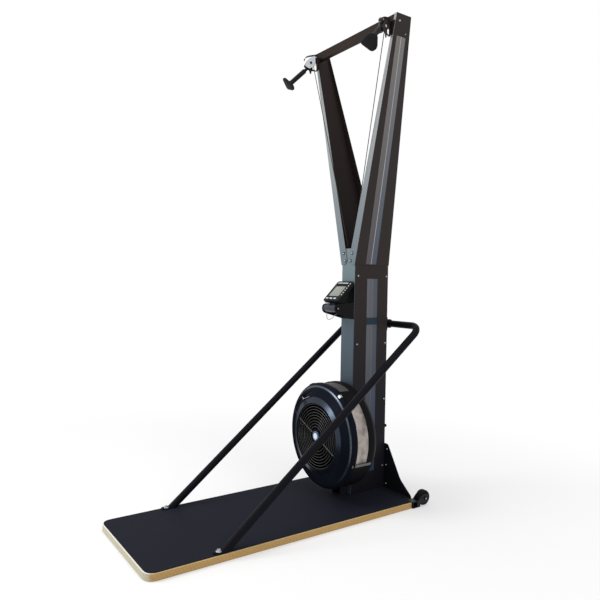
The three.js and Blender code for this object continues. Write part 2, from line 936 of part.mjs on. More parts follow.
// A place given about a pulley's centre, ahead and up in the pulley's own plane
function blockPoint(side, back, up) {
  const axis = point(0, 0, 1);
  const place = point(0, back, up).applyAxisAngle(axis, side * radians(blockTurn));
  return place.add(point(side * pulleyReach, pulleyY, pulleyHeight));
}

const pulls = {
  left: { side: -1, drop: radians(leftPullDrop), under: leftHandleUnder },
  right: { side: 1, drop: radians(rightPullDrop), under: rightHandleUnder },
};

// Direction in which a handle is drawn, out from its pulley
function pullDirection({ side, drop }) {
  const level = point(0, -Math.cos(drop), -Math.sin(drop));
  return level.applyAxisAngle(point(0, 0, 1), side * radians(blockTurn));
}

// Where a handle's tip starts, back and up from its pulley's centre
function handleStart({ drop, under }) {
  const back = under * Math.sin(drop) - handleAhead * Math.cos(drop);
  return [back, -under * Math.cos(drop) - handleAhead * Math.sin(drop)];
}

// Angle at which the cord leaves its groove for the handle, from the back over the top
function cordLeaves(pull) {
  const [back, up] = handleStart(pull);
  const bearing = (Math.atan2(up, back) + 2 * Math.PI) % (2 * Math.PI);
  return bearing - Math.acos(pulleyCordRadius / Math.hypot(back, up));
}

// A plate's outline from shares of its head height
function plateOutline(shares) {
  return outline(
    shares.map(([back, up, round]) => [back * plateHead, up * plateHead, round * plateCorner]),
  );
}

// Two plates, a pin and a pulley ahead of each arm's head
function addPulleyBlocks() {
  const half = pulleyWidth / 2;
  const bore = pulleyPinRadius + seatGap;
  const pulleyProfile = [
    [bore, -half],
    [pulleyRimRadius, -half],
    [pulleyGrooveRadius, -cordRadius],
    [pulleyGrooveRadius, cordRadius],
    [pulleyRimRadius, half],
    [bore, half],
    [bore, -half],
  ];
  const plateNear = half + plateGap;
  const plateFar = plateNear + plateThickness;
  const mountFar = armFrontY - seatGap;
  const mountNear = mountFar - plateThickness;
  const pinHole = rodAlongX(bore, -plateFar - cutOverrun, plateFar + cutOverrun, 0, 0);
  const innerPlate = plateOutline([...frontPlateShares, ...innerPlateShares]);
  const outerPlate = plateOutline([...frontPlateShares, ...outerPlateShares]);
  const window = plateOutline(plateWindowShares);
  for (const [label, side] of [['left', -1], ['right', 1]]) {
    const ordered = (near, far) => (side > 0 ? [near, far] : [-far, -near]);
    const inner = ordered(-plateFar, -plateNear);
    const outer = ordered(plateNear, plateFar);
    const bracket = joined([sideSheetBody(innerPlate, ...inner, smallSteps)], [pinHole]);
    addPiece(`${label}_pulley_bracket`, onBlock(bracket, side), brightSteel);

    const webEnds = ordered(seatGap - plateNear, plateNear + weldLap);
    const web = block(...webEnds, webNear, webNear + webThickness, webLow, webHigh);
    const windowEnds = [outer[0] - cutOverrun, outer[1] + cutOverrun];
    const cuts = [pinHole, sideSheetBody(window, ...windowEnds, smallSteps)];
    const outerSheet = sideSheetBody(outerPlate, ...outer, smallSteps);
    const plate = onBlock(joined([outerSheet, web], cuts), side);
    const behind = block(-armTopHalf, armTopHalf, mountFar - weldLap / 2, columnRearY, 0, towerHeight);
    const mount = armMount(side, pulleyReach - mountReach, mountNear, mountFar);
    addPiece(`${label}_pulley_cover`, joined([joined([plate], [behind]), mount]), blackPlastic);

    const pulley = turned(pulleyProfile, rodSides).rotateZ(-Math.PI / 2);
    addPiece(`${label}_pulley`, onBlock(pulley, side), blackPlastic);
    addPiece(`${label}_pulley_pin`, onBlock(pulleyPin(plateFar + seatGap), side), brightSteel);
  }
}

// The slanted foot of a pulley block, which lies on the arm's front flange
function armMount(side, reach, near, far) {
  const low = pulleyHeight - mountDrop;
  const high = pulleyHeight + plateHead;
  const inset = armSheet;
  const shape = outline([
    [reach, low, cutOverrun],
    [armOuter(low) - inset, low, cutOverrun],
    [armOuter(high) - inset, high, cutOverrun],
    [reach, high, cutOverrun],
  ]);
  const mount = frontSheet(shape, near, far);
  return side > 0 ? mount : outward(mount.scale(-1, 1, 1));
}

// A headed pin through a pulley block
function pulleyPin(half) {
  const head = pinHeadHeight;
  const profile = [
    [0, -half - head],
    [pinHeadRadius, -half - head],
    [pinHeadRadius, -half],
    [pulleyPinRadius, -half],
    [pulleyPinRadius, half],
    [pinHeadRadius, half],
    [pinHeadRadius, half + head],
    [0, half + head],
  ];
  return turned(profile, pinSides).rotateZ(-Math.PI / 2);
}

// A handle: cord tip, round grip and a flared palm stop, drawn down from the pulley
function addHandles() {
  for (const [label, pull] of Object.entries(pulls)) {
    const side = pull.side;
    const gripStart = handleTipLength;
    const gripEnd = gripStart + handleGripLength;
    const stopStart = gripEnd + handleNeckLength;
    const profile = [
      [0, 0],
      [handleTipRadius, 0],
      [handleTipRadius, gripStart],
      [handleGripRadius, gripStart + handleEndCrown],
      [handleGripRadius, gripEnd],
      [handleNeckRadius, stopStart],
      [handleNeckRadius, stopStart + weldLap],
      [0, stopStart + weldLap],
    ];
    const grip = turned(profile, discSides / 2);
    const half = handleEndHalf - handleEndCrown;
    const palm = outline(
      handleEndShares.map(([across, up, round]) => [side * across * half, up * half, round * half]),
    );
    const stop = new THREE.ExtrudeGeometry(palm, {
      depth: handleEndThickness - handleEndCrown * 2,
      bevelEnabled: true,
      bevelThickness: handleEndCrown,
      bevelSize: handleEndCrown,
      bevelSegments: 1,
      curveSegments: bendSteps,
    });
    stop.rotateX(-Math.PI / 2).translate(0, stopStart + handleEndCrown, 0);
    const handle = joined([grip, outward(stop)]);
    const along = pullDirection(pull);
    const across = point(1, 0, 0).addScaledVector(along, -along.x).normalize();
    const placed = new THREE.Matrix4().makeBasis(across, along, across.clone().cross(along));
    handle.applyMatrix4(placed.setPosition(blockPoint(side, ...handleStart(pull))));
    addPiece(`${label}_handle`, handle, blackRubber);
  }
}

const rollerY = columnFrontY + rollerBack;

// Where each spool's cord lies along the axle
function spoolY(order) {
  return columnFrontY + spoolFirstBack + spoolPitch * order + spoolWidth / 2;
}

// The cords: from the spool up past its guide roller, over the head pulley to the handle
function addCords() {
  const spoolRadius = spoolCoreRadius + cordRadius;
  const orders = { left: 1, right: 0 };
  for (const [label, pull] of Object.entries(pulls)) {
    const side = pull.side;
    const spoolPlace = point(spoolRadius, spoolY(orders[label]), fanHeight);
    const guideX = side * cordHalfSpacing;
    const guide = point(guideX, rollerY, rollerHeight);
    const stations = [spoolPlace, ...guideBend(guide, side)];
    const leaves = cordLeaves(pull);
    for (let step = 0; step <= bendSteps; step += 1) {
      const angle = (leaves * step) / bendSteps;
      const place = [pulleyCordRadius * Math.cos(angle), pulleyCordRadius * Math.sin(angle)];
      stations.push(blockPoint(side, ...place));
    }
    const last = stations[stations.length - 1];
    const tip = blockPoint(side, ...handleStart(pull));
    const along = pullDirection(pull);
    const lean = Math.sin(tip.clone().sub(last).angleTo(along));
    stations.push(tip.addScaledVector(along, -seatGap - cordRadius * lean));
    addPiece(`${label}_pull_cord`, tubeAlong(stations, cordRadius, cordSides), cordBlack);
  }
}

// The cord's short bend against its guide roller
function guideBend(guide, side) {
  const lead = rollerRadius / 2;
  const onward = blockPoint(side, pulleyCordRadius, 0).sub(guide).normalize();
  return [point(guide.x, guide.y, guide.z - lead), guide, onward.multiplyScalar(lead).add(guide)];
}

// Guide rollers behind the column's tongue, on a bracket that the tongue carries
function addRollers() {
  const half = rollerWidth / 2;
  const bore = rollerPinRadius + seatGap;
  const core = rollerRadius - cordRadius - seatGap;
  const profile = [
    [bore, -half],
    [rollerFlangeRadius - cordRadius * 2, -half],
    [core, -cordRadius],
    [core, cordRadius],
    [rollerFlangeRadius - cordRadius * 2, half],
    [bore, half],
    [bore, -half],
  ];
  const centreX = cordHalfSpacing + rollerRadius;
  const plateFront = rollerY + half + runningGap;
  const bracket = frontSheet(
    roundedBox(0, rollerHeight, centreX + rollerFlangeRadius / 2, rollerFlangeRadius, cutOverrun),
    plateFront,
    plateFront + bracketSheet,
  );
  const pieces = [bracket];
  for (const [name, side] of [['left_guide_roller', -1], ['right_guide_roller', 1]]) {
    const roller = turned(profile, discSides / 2);
    addPiece(name, roller.translate(side * centreX, rollerY, rollerHeight), blackPlastic);
    const pinFront = columnFrontY + columnSheet + seatGap;
    const ends = [pinFront, plateFront + bracketSheet];
    pieces.push(rodAlongY(rollerPinRadius, ...ends, side * centreX, rollerHeight));
  }
  addPiece('roller_bracket', joined(pieces), satinBlack);
}

// Spools, axle and bearings behind and inside the fan
function addSpools() {
  const bore = axleRadius + seatGap;
  ['right_spool', 'left_spool'].forEach((name, order) => {
    const near = spoolY(order) - spoolWidth / 2;
    const far = near + spoolWidth;
    const profile = [
      [bore, near],
      [spoolFlangeRadius, near],
      [spoolFlangeRadius, near + spoolFlange],
      [spoolCoreRadius, near + spoolFlange],
      [spoolCoreRadius, far - spoolFlange],
      [spoolFlangeRadius, far - spoolFlange],
      [spoolFlangeRadius, far],
      [bore, far],
      [bore, near],
    ];
    addPiece(name, turned(profile, wheelSides).translate(0, 0, fanHeight), aluminium);
  });
  const axleEnds = [columnFrontY - axleFrontAhead, columnFrontY + axleRearBack];
  addPiece('fan_axle', rodAlongY(axleRadius, ...axleEnds, 0, fanHeight, discSides), brightSteel);
  const bearingNear = columnFrontY - fanWall * 2 - bearingWidth;
  const bearing = ring(bore, bearingRadius, bearingNear, bearingNear + bearingWidth, discSides);
  addPiece('fan_bearing', bearing.translate(0, 0, fanHeight), brightSteel);
}

// A part of a ring about the fan's axis, between two angles seen from the front
function ringSector(innerRadius, outerRadius, near, far, start, end) {
  const shape = new THREE.Shape();
  shape.absarc(0, fanHeight, outerRadius, radians(start), radians(end), false);
  shape.absarc(0, fanHeight, innerRadius, radians(end), radians(start), true);
  shape.closePath();
  const share = Math.abs(end - start) / fullTurn;
  const steps = Math.max(Math.round(rimSides * share), cornerSteps);
  return frontSheet(shape, near, far, steps);
}

// Fan housing: the moulded front cover with its bevel, shoulder, clips and damper slot
function addFanCover() {
  const lipY = columnFrontY - fanLipAhead;
  const bevelY = columnFrontY - fanBevelAhead;
  const shoulderY = columnFrontY - fanShoulderAhead;
  const rimY = columnFrontY - fanRimAhead;
  const backY = columnFrontY - fanCoverBackAhead;
  const wall = fanWall;
  const lipBack = lipY + grilleRecess + grilleDepth;
  const rimBlend = (fanRimRadius + shoulderRadius) / 2;
  const profile = [
    [grilleRadius, lipBack],
    [grilleRadius, lipY],
    [grilleRadius + wall, lipY],
    [bevelRadius, bevelY],
    [shoulderRadius, shoulderY],
    [rimBlend + wall, (shoulderY + rimY) / 2],
    [fanRimRadius, rimY],
    [fanRimRadius, backY],
    [fanRimRadius - wall, backY],
    [fanRimRadius - wall, rimY + wall / 2],
    [rimBlend, (shoulderY + rimY) / 2 + wall],
    [shoulderRadius - wall / 2, shoulderY + wall],
    [bevelRadius - wall / 2, bevelY + wall],
    [grilleRadius + wall, lipY + wall],
    [grilleRadius + wall, lipBack],
    [grilleRadius, lipBack],
  ];
  const shell = turned(profile, rimSides).translate(0, 0, fanHeight);
  const clips = [];
  for (let clip = 0; clip < clipCount; clip += 1) {
    const angle = radians(clipTurn) + (clip / clipCount) * 2 * Math.PI;
    const outerFace = fanRimRadius + clipHeight;
    const body = block(fanRimRadius - wall, outerFace, rimY, backY, -clipWidth / 2, clipWidth / 2);
    clips.push(body.rotateY(-angle).translate(0, 0, fanHeight));
  }
  const slot = ringSector(
    damperRadius - damperSlotHalf,
    damperRadius + damperSlotHalf,
    lipY,
    rimY,
    damperSlotStart,
    damperSlotEnd,
  );
  addPiece('fan_front_cover', joined([shell, ...clips], [slot]), glossBlack);
}

// The grille of concentric rings on radial spokes
function addGrille() {
  const near = columnFrontY - fanLipAhead + grilleRecess;
  const far = near + grilleDepth;
  const outer = grilleRadius - seatGap;
  const pitch = (outer - grilleHubRadius) / grilleRings;
  const pieces = [ring(axleRadius + seatGap, grilleHubRadius, near, far, discSides)];
  for (let count = 1; count <= grilleRings; count += 1) {
    const radius = grilleHubRadius + pitch * count;
    const innerSides = count > grilleRings / 2 ? discSides : wheelSides;
    const sides = count === grilleRings ? rimSides : innerSides;
    pieces.push(ring(radius - grilleBar, radius, near, far, sides));
  }
  for (let spoke = 0; spoke < grilleSpokes; spoke += 1) {
    const angle = radians(grilleSpokeTurn + (fullTurn * spoke) / grilleSpokes);
    const start = grilleHubRadius - weldLap;
    const end = outer - grilleBar / 2;
    const bar = block(start, end, near, far, -grilleBar / 2, grilleBar / 2);
    pieces.push(bar.rotateY(-angle));
  }
  addPiece('fan_grille', joined(pieces).translate(0, 0, fanHeight), glossBlack);
  const capBack = near - seatGap;
  const capProfile = [
    [0, capBack],
    [hubCapRadius, capBack],
    [hubCapRadius, capBack - hubCapHeight / 2],
    [hubCapRadius - hubCapHeight, capBack - hubCapHeight],
    [0, capBack - hubCapHeight],
  ];
  addPiece('fan_hub_cap', turned(capProfile, discSides).translate(0, 0, fanHeight), paleBlue);
}

// The perforated band round the fan and the rear housing, closed outside the band at its foot
function addFanHousing() {
  const nearY = columnFrontY - fanCoverBackAhead + seatGap;
  const bandFar = columnFrontY - fanBandBackAhead;
  const outer = fanRimRadius - bandInset;
  const band = ring(outer - bandWall, outer, nearY, bandFar, rimSides);
  addPiece('fan_mesh_band', band.translate(0, 0, fanHeight), meshSteel);

  const rimNear = bandFar + seatGap;
  const backNear = columnFrontY - seatGap - fanWall;
  const backFar = columnFrontY - seatGap;
  const wall = fanWall;
  const rimInner = outer - bandWall - wall;
  const profile = [
    [bearingRadius + seatGap, backNear - bearingWidth],
    [bearingBossRadius, backNear - bearingWidth],
    [bearingBossRadius, backNear],
    [rimInner - rearSlopeHeight, backNear],
    [rimInner, backNear - rearSlopeDepth],
    [rimInner, rimNear],
    [fanRimRadius, rimNear],
    [fanRimRadius, backFar - rearSlopeDepth],
    [fanRimRadius - rearSlopeHeight / 3, backFar - rearSlopeDepth / 3],
    [fanRimRadius - rearSlopeHeight, backFar],
    [axleRadius + runningGap, backFar],
    [axleRadius + runningGap, backNear],
    [bearingRadius + seatGap, backNear],
    [bearingRadius + seatGap, backNear - bearingWidth],
  ];
  const shell = turned(profile, rimSides).translate(0, 0, fanHeight);
  const wallRadii = [outer + seatGap, fanRimRadius];
  const wallEnds = [nearY, rimNear + weldLap];
  const lowerWall = ringSector(...wallRadii, ...wallEnds, bandLowerStart, bandLowerEnd);
  const upperBlock = ringSector(...wallRadii, ...wallEnds, bandBlockStart, bandBlockEnd);
  addPiece('fan_rear_housing', joined([shell, lowerWall, upperBlock]), blackPlastic);
}

// The turning wheel inside the fan: hub, back disc and curved blades
function addImpeller() {
  const discBack = columnFrontY - bladeBackAhead;
  const discFront = discBack - impellerDiscThickness;
  const bladeFront = columnFrontY - bladeFrontAhead;
  const bore = axleRadius + seatGap;
  const hub = ring(bore, impellerHubRadius, bladeFront, discBack, discSides);
  const disc = ring(bore, impellerRadius, discFront, discBack, discSides);
  const pieces = [hub, disc];
  const bladeStart = impellerHubRadius + bladeInset;
  const bow = bladeBow;
  const blade = new THREE.Shape();
  blade.moveTo(bladeStart, 0);
  blade.quadraticCurveTo((bladeStart + impellerRadius) / 2, bow, impellerRadius, 0);
  blade.lineTo(impellerRadius, bladeThickness);
  const middle = (bladeStart + impellerRadius) / 2;
  blade.quadraticCurveTo(middle, bow + bladeThickness, bladeStart, bladeThickness);
  blade.closePath();
  for (let count = 0; count < impellerBlades; count += 1) {
    const body = frontSheet(blade, bladeFront, discFront + weldLap / 2, smallSteps);
    pieces.push(body.rotateY((count / impellerBlades) * 2 * Math.PI));
  }
  addPiece('impeller', joined(pieces).translate(0, 0, fanHeight), blackPlastic);
}

// The damper: a ring sector behind the cover's shoulder with a lever through its slot
function addDamper() {
  const slope = (fanBevelAhead - fanShoulderAhead) / (shoulderRadius - bevelRadius);
  const behindCover = (radius) => {
    const beyondBevel = radius - bevelRadius + fanWall / 2;
    return columnFrontY - fanBevelAhead + slope * beyondBevel + fanWall + damperGap;
  };
  const innerRadius = damperRadius - damperRingHalf;
  const outerRadius = damperRadius + damperRingHalf;
  const profile = [
    [innerRadius, behindCover(innerRadius)],
    [outerRadius, behindCover(outerRadius)],
    [outerRadius, behindCover(outerRadius) + damperRingThickness],
    [innerRadius, behindCover(innerRadius) + damperRingThickness],
    [innerRadius, behindCover(innerRadius)],
  ];
  const plate = turned(profile, rimSides);
  const leverFront = columnFrontY - fanLipAhead - damperLeverProud + grilleRecess;
  const halfLever = damperLeverHalf;
  const radii = [damperRadius - halfLever, damperRadius + halfLever];
  const leverBack = behindCover(damperRadius) + weldLap / 2;
  const lever = block(...radii, leverFront, leverBack, -halfLever, halfLever);
  lever.rotateY(-radians(damperLeverTurn));
  const damper = joined([plate, lever]).translate(0, 0, fanHeight);
  addPiece('damper_ring', damper, blackPlastic);
}

// The bracket that holds the fan's foot on the platform
function addFanFoot() {
  const middleY = columnFrontY - fanFootAhead / 2;
  const near = middleY - fanFootDepth / 2;
  const far = middleY + fanFootDepth / 2;
  const sheet = fanFootSheet;
  const cradle = fanHeight - fanRimRadius;
  const base = block(-fanFootHalf, fanFootHalf, near, far, deckSeat, deckSeat + sheet);
  const legs = [];
  for (const side of [-1, 1]) {
    const outer = side * (fanFootHalf - sheet);
    const [low, high] = side > 0 ? [outer, outer + sheet] : [outer - sheet, outer];
    legs.push(block(low, high, near, far, deckSeat, cradle + fanFootHalf / 4));
  }
  const cutEnds = [near - cutOverrun, far + cutOverrun];
  const barrel = rodAlongY(fanRimRadius + seatGap, ...cutEnds, 0, fanHeight, rimSides);
  addPiece('fan_foot', joined([base, ...legs], [barrel]), satinBlack);
}

// The bent tube that braces the column from the platform's edges, and its clamp
function addBrace() {
  const barY = columnRearY + braceBackGap + braceRadius;
  const footY = frontY + braceFootBack;
  const slope = (braceHeight - deckTop) / (barY - footY);
  const below = braceRadius * 2;
  const footLow = (side) => point(side * braceHalf, footY - below / slope, deckTop - below);
  const stations = bentStations([
    [footLow(-1), 0],
    [point(-braceHalf, barY, braceHeight), braceBendRadius],
    [point(braceHalf, barY, braceHeight), braceBendRadius],
    [footLow(1), 0],
  ]);
  const tube = tubeAlong(stations, braceRadius, rodSides);
  const tabs = [];
  const holes = [];
  const tabTop = deckSeat + braceTabThickness;
  const tabRearY = footY + braceRadius;
  const tabFrontY = tabRearY - braceTabLength;
  for (const side of [-1, 1]) {
    const middle = side * braceHalf;
    const outerLimit = boardHalf - matMargin - braceHalf;
    const half = Math.min(braceTabHalf, outerLimit);
    const tab = outline([
      [middle - half, tabFrontY, braceTabRound],
      [middle + half, tabFrontY, braceTabRound],
      [middle + half, tabRearY, cutOverrun],
      [middle - half, tabRearY, cutOverrun],
    ]);
    tabs.push(flatSheet(tab, deckSeat, tabTop));
    const boltY = tabFrontY + braceBoltAhead;
    const holeEnds = [deckSeat - cutOverrun, tabTop + cutOverrun];
    holes.push(rodAlongZ(braceBoltRadius + seatGap, ...holeEnds, middle, boltY, pinSides));
  }
  const reach = boardWidth;
  const floor = deckSeat - below * 2;
  const under = block(-reach, reach, frontY, columnFrontY, floor, deckSeat);
  addPiece('brace_bar', joined([tube, ...tabs], [under, ...holes]), satinBlack);

  const flangeNear = columnRearY + seatGap;
  const flangeFar = flangeNear + clampFlangeThickness;
  const collarOuter = braceRadius + seatGap + clampWall;
  const flange = block(
    -clampHalf,
    clampHalf,
    flangeNear,
    flangeFar,
    braceHeight - clampFlangeHeight / 2,
    braceHeight + clampFlangeHeight / 2,
  );
  const collar = rodAlongX(collarOuter, -clampHalf, clampHalf, barY, braceHeight, rodSides * 2);
  const bore = [braceRadius + seatGap, -clampHalf - cutOverrun, clampHalf + cutOverrun];
  const tubeHole = rodAlongX(...bore, barY, braceHeight, rodSides * 2);
  const ahead = block(
    -clampHalf - cutOverrun,
    clampHalf + cutOverrun,
    columnRearY - collarOuter,
    flangeNear,
    braceHeight - collarOuter,
    braceHeight + collarOuter,
  );
  addPiece('brace_clamp', joined([flange, collar], [ahead, tubeHole]), satinBlack);
}

// Monitor on a tilting barrel, carried by a bracket on the column
function addMonitor() {
  const axisY = columnFrontY - tiltAxisAhead;
  const tilted = new THREE.Group();
  tilted.position.set(0, axisY, tiltAxisHeight);
  tilted.rotation.x = -radians(monitorTilt);
  machine.add(tilted);

  const faceY = -monitorFaceAhead;
  const bezelBack = faceY + bezelDepth;
  const middleZ = monitorFoot + monitorHeight / 2;
  const face = roundedBox(0, middleZ, monitorHalf, monitorHeight / 2, monitorCorner);
  const windowMiddle = lensFoot + lensHeight / 2;
  const windowHalf = lensHalf + seatGap;
  const windowHeightHalf = lensHeight / 2 + seatGap;
  const window = roundedBox(lensShift, windowMiddle, windowHalf, windowHeightHalf, weldLap);
  const through = [faceY - cutOverrun, bezelBack + cutOverrun];
  const cutters = [frontSheet(window, ...through)];
  const buttons = monitorButtons();
  for (const { shape } of buttons) {
    cutters.push(frontSheet(shape(buttonGap), ...through));
  }
  const bezel = joined([frontSheet(face, faceY, bezelBack)], cutters);
  addPiece('monitor_front_case', bezel, blackPlastic, tilted);
  const lens = roundedBox(lensShift, windowMiddle, lensHalf, lensHeight / 2, weldLap);
  const lensNear = faceY + lensThickness;
  addPiece('monitor_lens', frontSheet(lens, lensNear, bezelBack), lensGrey, tilted);
  for (const { name, shape } of buttons) {
    const near = faceY - buttonProud;
    addPiece(name, frontSheet(shape(0), near, near + buttonDepth), buttonGrey, tilted);
  }

  const shellNear = bezelBack + seatGap;
  const shellFar = shellNear + backShellDepth;
  const shell = frontSheet(face, shellNear, shellFar);
  const boxMiddle = backBoxFoot + backBoxHeight / 2;
  const boxShape = roundedBox(0, boxMiddle, backBoxHalf, backBoxHeight / 2, monitorCorner);
  const box = frontSheet(boxShape, shellFar - weldLap, shellFar + backBoxDepth);
  addPiece('monitor_back_case', joined([shell, box]), blackPlastic, tilted);

  const barrel = rodAlongX(barrelRadius, -barrelHalf, barrelHalf, 0, 0, discSides);
  const neckTop = backBoxFoot - seatGap;
  const neckFront = shellFar + weldLap;
  const neck = block(-barrelNeckHalf, barrelNeckHalf, neckFront, barrelNeckBack, 0, neckTop);
  const bore = [tiltBoltRadius + seatGap, -barrelHalf - cutOverrun, barrelHalf + cutOverrun, 0, 0];
  addPiece('tilt_barrel', joined([barrel, neck], [rodAlongX(...bore)]), satinBlack, tilted);

  addMonitorBracket(axisY);
}

// The names and outlines of the monitor's buttons: three below the screen, six beside it
function monitorButtons() {
  const buttons = [];
  for (let count = 0; count < lowerButtons; count += 1) {
    const x = lensShift + (count - 1) * lowerButtonPitch;
    const z = monitorFoot + lowerButtonRise;
    const shape = (gap) =>
      roundedBox(x, z, lowerButtonHalf + gap, lowerButtonHeightHalf + gap, lowerButtonHeightHalf / 2);
    buttons.push({ name: `button_lower_${count + 1}`, shape });
  }
  for (let count = 0; count < sideButtons; count += 1) {
    const x = monitorHalf - sideButtonInset;
    const z = monitorFoot + sideButtonFirst + sideButtonPitch * count;
    const shape = (gap) => {
      const circle = new THREE.Shape();
      circle.absarc(x, z, sideButtonRadius + gap, 0, 2 * Math.PI, false);
      return circle;
    };
    buttons.push({ name: `button_side_${count + 1}`, shape });
  }
  return buttons;
}

// Two cheeks from a plate on the column, a bolt through them and the barrel, and a lead
function addMonitorBracket(axisY) {
  const near = barrelHalf + seatGap;
  const plateFar = columnFrontY - seatGap;
  const plateNear = plateFar - bracketPlate;
  const bracketFoot = tiltAxisHeight - bracketDrop;
  const bracketHead = tiltAxisHeight + bracketRise;
  const cheek = outline([
    [axisY - cheekRadius, tiltAxisHeight - cheekRadius, cheekRadius],
    [plateFar, bracketFoot, 0],
    [plateFar, bracketHead, 0],
    [axisY - cheekRadius, tiltAxisHeight + cheekRadius, cheekRadius],
  ]);
  const holeRadius = tiltBoltRadius + seatGap;
  const far = near + cheekThickness;
  const hole = rodAlongX(holeRadius, -far - cutOverrun, far + cutOverrun, axisY, tiltAxisHeight);
  const pieces = [block(-far, far, plateNear, plateFar, bracketFoot, bracketHead)];
  pieces.push(sideSheetBody(cheek, near, far), sideSheetBody(cheek, -far, -near));
  addPiece('monitor_bracket', joined(pieces, [hole]), satinBlack);

  const boltEnd = far + seatGap;
  const profile = [
    [0, -boltEnd - boltFlangeHeight],
    [boltFlangeRadius, -boltEnd - boltFlangeHeight],
    [boltFlangeRadius, -boltEnd],
    [tiltBoltRadius, -boltEnd],
    [tiltBoltRadius, boltEnd],
    [boltFlangeRadius, boltEnd],
    [boltFlangeRadius, boltEnd + boltFlangeHeight],
    [0, boltEnd + boltFlangeHeight],
  ];
  const bolt = turned(profile, pinSides).rotateZ(-Math.PI / 2);
  addPiece('tilt_bolt', bolt.translate(0, axisY, tiltAxisHeight), brightSteel);

  const leadTop = tiltAxisHeight - barrelRadius - seatGap;
  const leadEnd = point(cableHalf, plateNear - seatGap, bracketFoot + bracketPlate * 2);
  const leadLow = tiltAxisHeight - barrelRadius - cableDrop;
  const corners = [
    [point(-cableHalf, axisY, leadTop), 0],
    [point(-cableHalf, axisY, leadLow), cableHalf / 2],
    [point(cableHalf, axisY, leadLow), cableHalf / 2],
    [point(cableHalf, axisY + cableHalf / 2, leadEnd.z), cableHalf / 4],
    [leadEnd, 0],
  ];
  addPiece('monitor_lead', tubeAlong(bentStations(corners), cableRadius, screwSides), buttonGrey);
}

addPlatform();
addCrossMember();
addBackPlate();
addColumn();
addArms();
addPulleyBlocks();
addHandles();
addCords();
addRollers();
addSpools();
addFanCover();
addGrille();
addFanHousing();
addImpeller();
addDamper();
addFanFoot();
addBrace();
addMonitor();

export default machine;
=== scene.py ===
# %% [markdown]
# # A ski trainer machine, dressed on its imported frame
# The machine is a tower over a flat deck. The user draws two handles down, and their cords turn a caged
# fan. The solids come from the CAD frame, in metres. This lesson gives each of them its real edges and
# finish. Everything is placed by the frame's own sizes, so that no piece has to be fitted by eye.

# %% Load the frame
import json
import math

import bmesh
import bpy
from mathutils import Matrix, Vector
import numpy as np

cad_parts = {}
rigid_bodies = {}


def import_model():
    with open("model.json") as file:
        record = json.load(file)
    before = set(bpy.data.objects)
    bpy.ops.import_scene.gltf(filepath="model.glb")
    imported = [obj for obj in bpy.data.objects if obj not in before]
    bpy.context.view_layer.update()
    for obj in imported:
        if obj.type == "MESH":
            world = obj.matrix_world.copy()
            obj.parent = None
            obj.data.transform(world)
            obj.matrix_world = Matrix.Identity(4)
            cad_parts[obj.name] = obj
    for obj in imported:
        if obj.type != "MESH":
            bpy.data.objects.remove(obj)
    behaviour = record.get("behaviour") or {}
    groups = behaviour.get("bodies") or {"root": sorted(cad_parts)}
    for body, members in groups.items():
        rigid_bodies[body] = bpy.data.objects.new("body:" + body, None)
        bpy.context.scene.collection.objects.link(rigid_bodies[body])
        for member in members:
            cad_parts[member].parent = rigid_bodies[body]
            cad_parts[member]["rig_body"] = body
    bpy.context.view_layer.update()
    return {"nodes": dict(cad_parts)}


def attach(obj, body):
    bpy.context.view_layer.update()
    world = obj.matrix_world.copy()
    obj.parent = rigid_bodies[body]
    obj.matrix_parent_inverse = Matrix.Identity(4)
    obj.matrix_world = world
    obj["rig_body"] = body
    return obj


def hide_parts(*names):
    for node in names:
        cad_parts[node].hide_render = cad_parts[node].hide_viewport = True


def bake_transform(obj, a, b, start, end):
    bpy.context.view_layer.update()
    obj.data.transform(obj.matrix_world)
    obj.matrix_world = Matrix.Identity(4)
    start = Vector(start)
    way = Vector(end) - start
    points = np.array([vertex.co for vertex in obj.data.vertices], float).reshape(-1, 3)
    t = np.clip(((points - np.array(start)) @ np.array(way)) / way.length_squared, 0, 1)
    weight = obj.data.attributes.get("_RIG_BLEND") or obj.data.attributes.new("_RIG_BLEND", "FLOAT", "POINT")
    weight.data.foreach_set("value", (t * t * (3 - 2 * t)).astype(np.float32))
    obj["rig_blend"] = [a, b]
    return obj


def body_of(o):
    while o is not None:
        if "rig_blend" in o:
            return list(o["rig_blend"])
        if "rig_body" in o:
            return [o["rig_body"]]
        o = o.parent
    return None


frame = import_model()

nodes = frame["nodes"]

# %% [markdown]
# ## Camera
# The view is the photograph's: the eye stands to the right of the deck's front end and looks at the tower.
# It could be set by eye, but straight edges give it exactly, so its place, its turn and its focal length
# were solved from the edges of the deck, the column and the cross bar. Depth of field stays off.

# %% Camera
EYE = Vector((2.13532, -1.36407, 1.01029))
YAW, PITCH, ROLL = (math.radians(a) for a in (55.34, 1.69, 0.95))
FOCAL_PIXELS, PHOTO_PIXELS, SENSOR = 590.79, 600, 36

ahead = Vector((-math.sin(YAW) * math.cos(PITCH), math.cos(YAW) * math.cos(PITCH), -math.sin(PITCH)))
level = Vector((math.cos(YAW), math.sin(YAW), 0))
upright = level.cross(ahead)
across = level * math.cos(ROLL) + upright * math.sin(ROLL)
upward = upright * math.cos(ROLL) - level * math.sin(ROLL)
camera_data = bpy.data.cameras.new("viewpoint")
camera_data.sensor_width = SENSOR
camera_data.lens = FOCAL_PIXELS * SENSOR / PHOTO_PIXELS
camera = bpy.data.objects.new("viewpoint", camera_data)
camera.matrix_world = Matrix.Translation(EYE) @ Matrix((across, upward, -ahead)).transposed().to_4x4()
bpy.context.scene.collection.objects.link(camera)
bpy.context.scene.camera = camera
print("lens", round(camera_data.lens, 2))

# %% [markdown]
# ## Places that many pieces share
# The machine hangs on a few planes and axes: the deck's front edge, the column's face and back, the slope
# of the arms, the brace, the fan's axle, the monitor's hinge and the wheels. Each could be measured on its
# node, but written once they can be read, and every later cell starts from them.

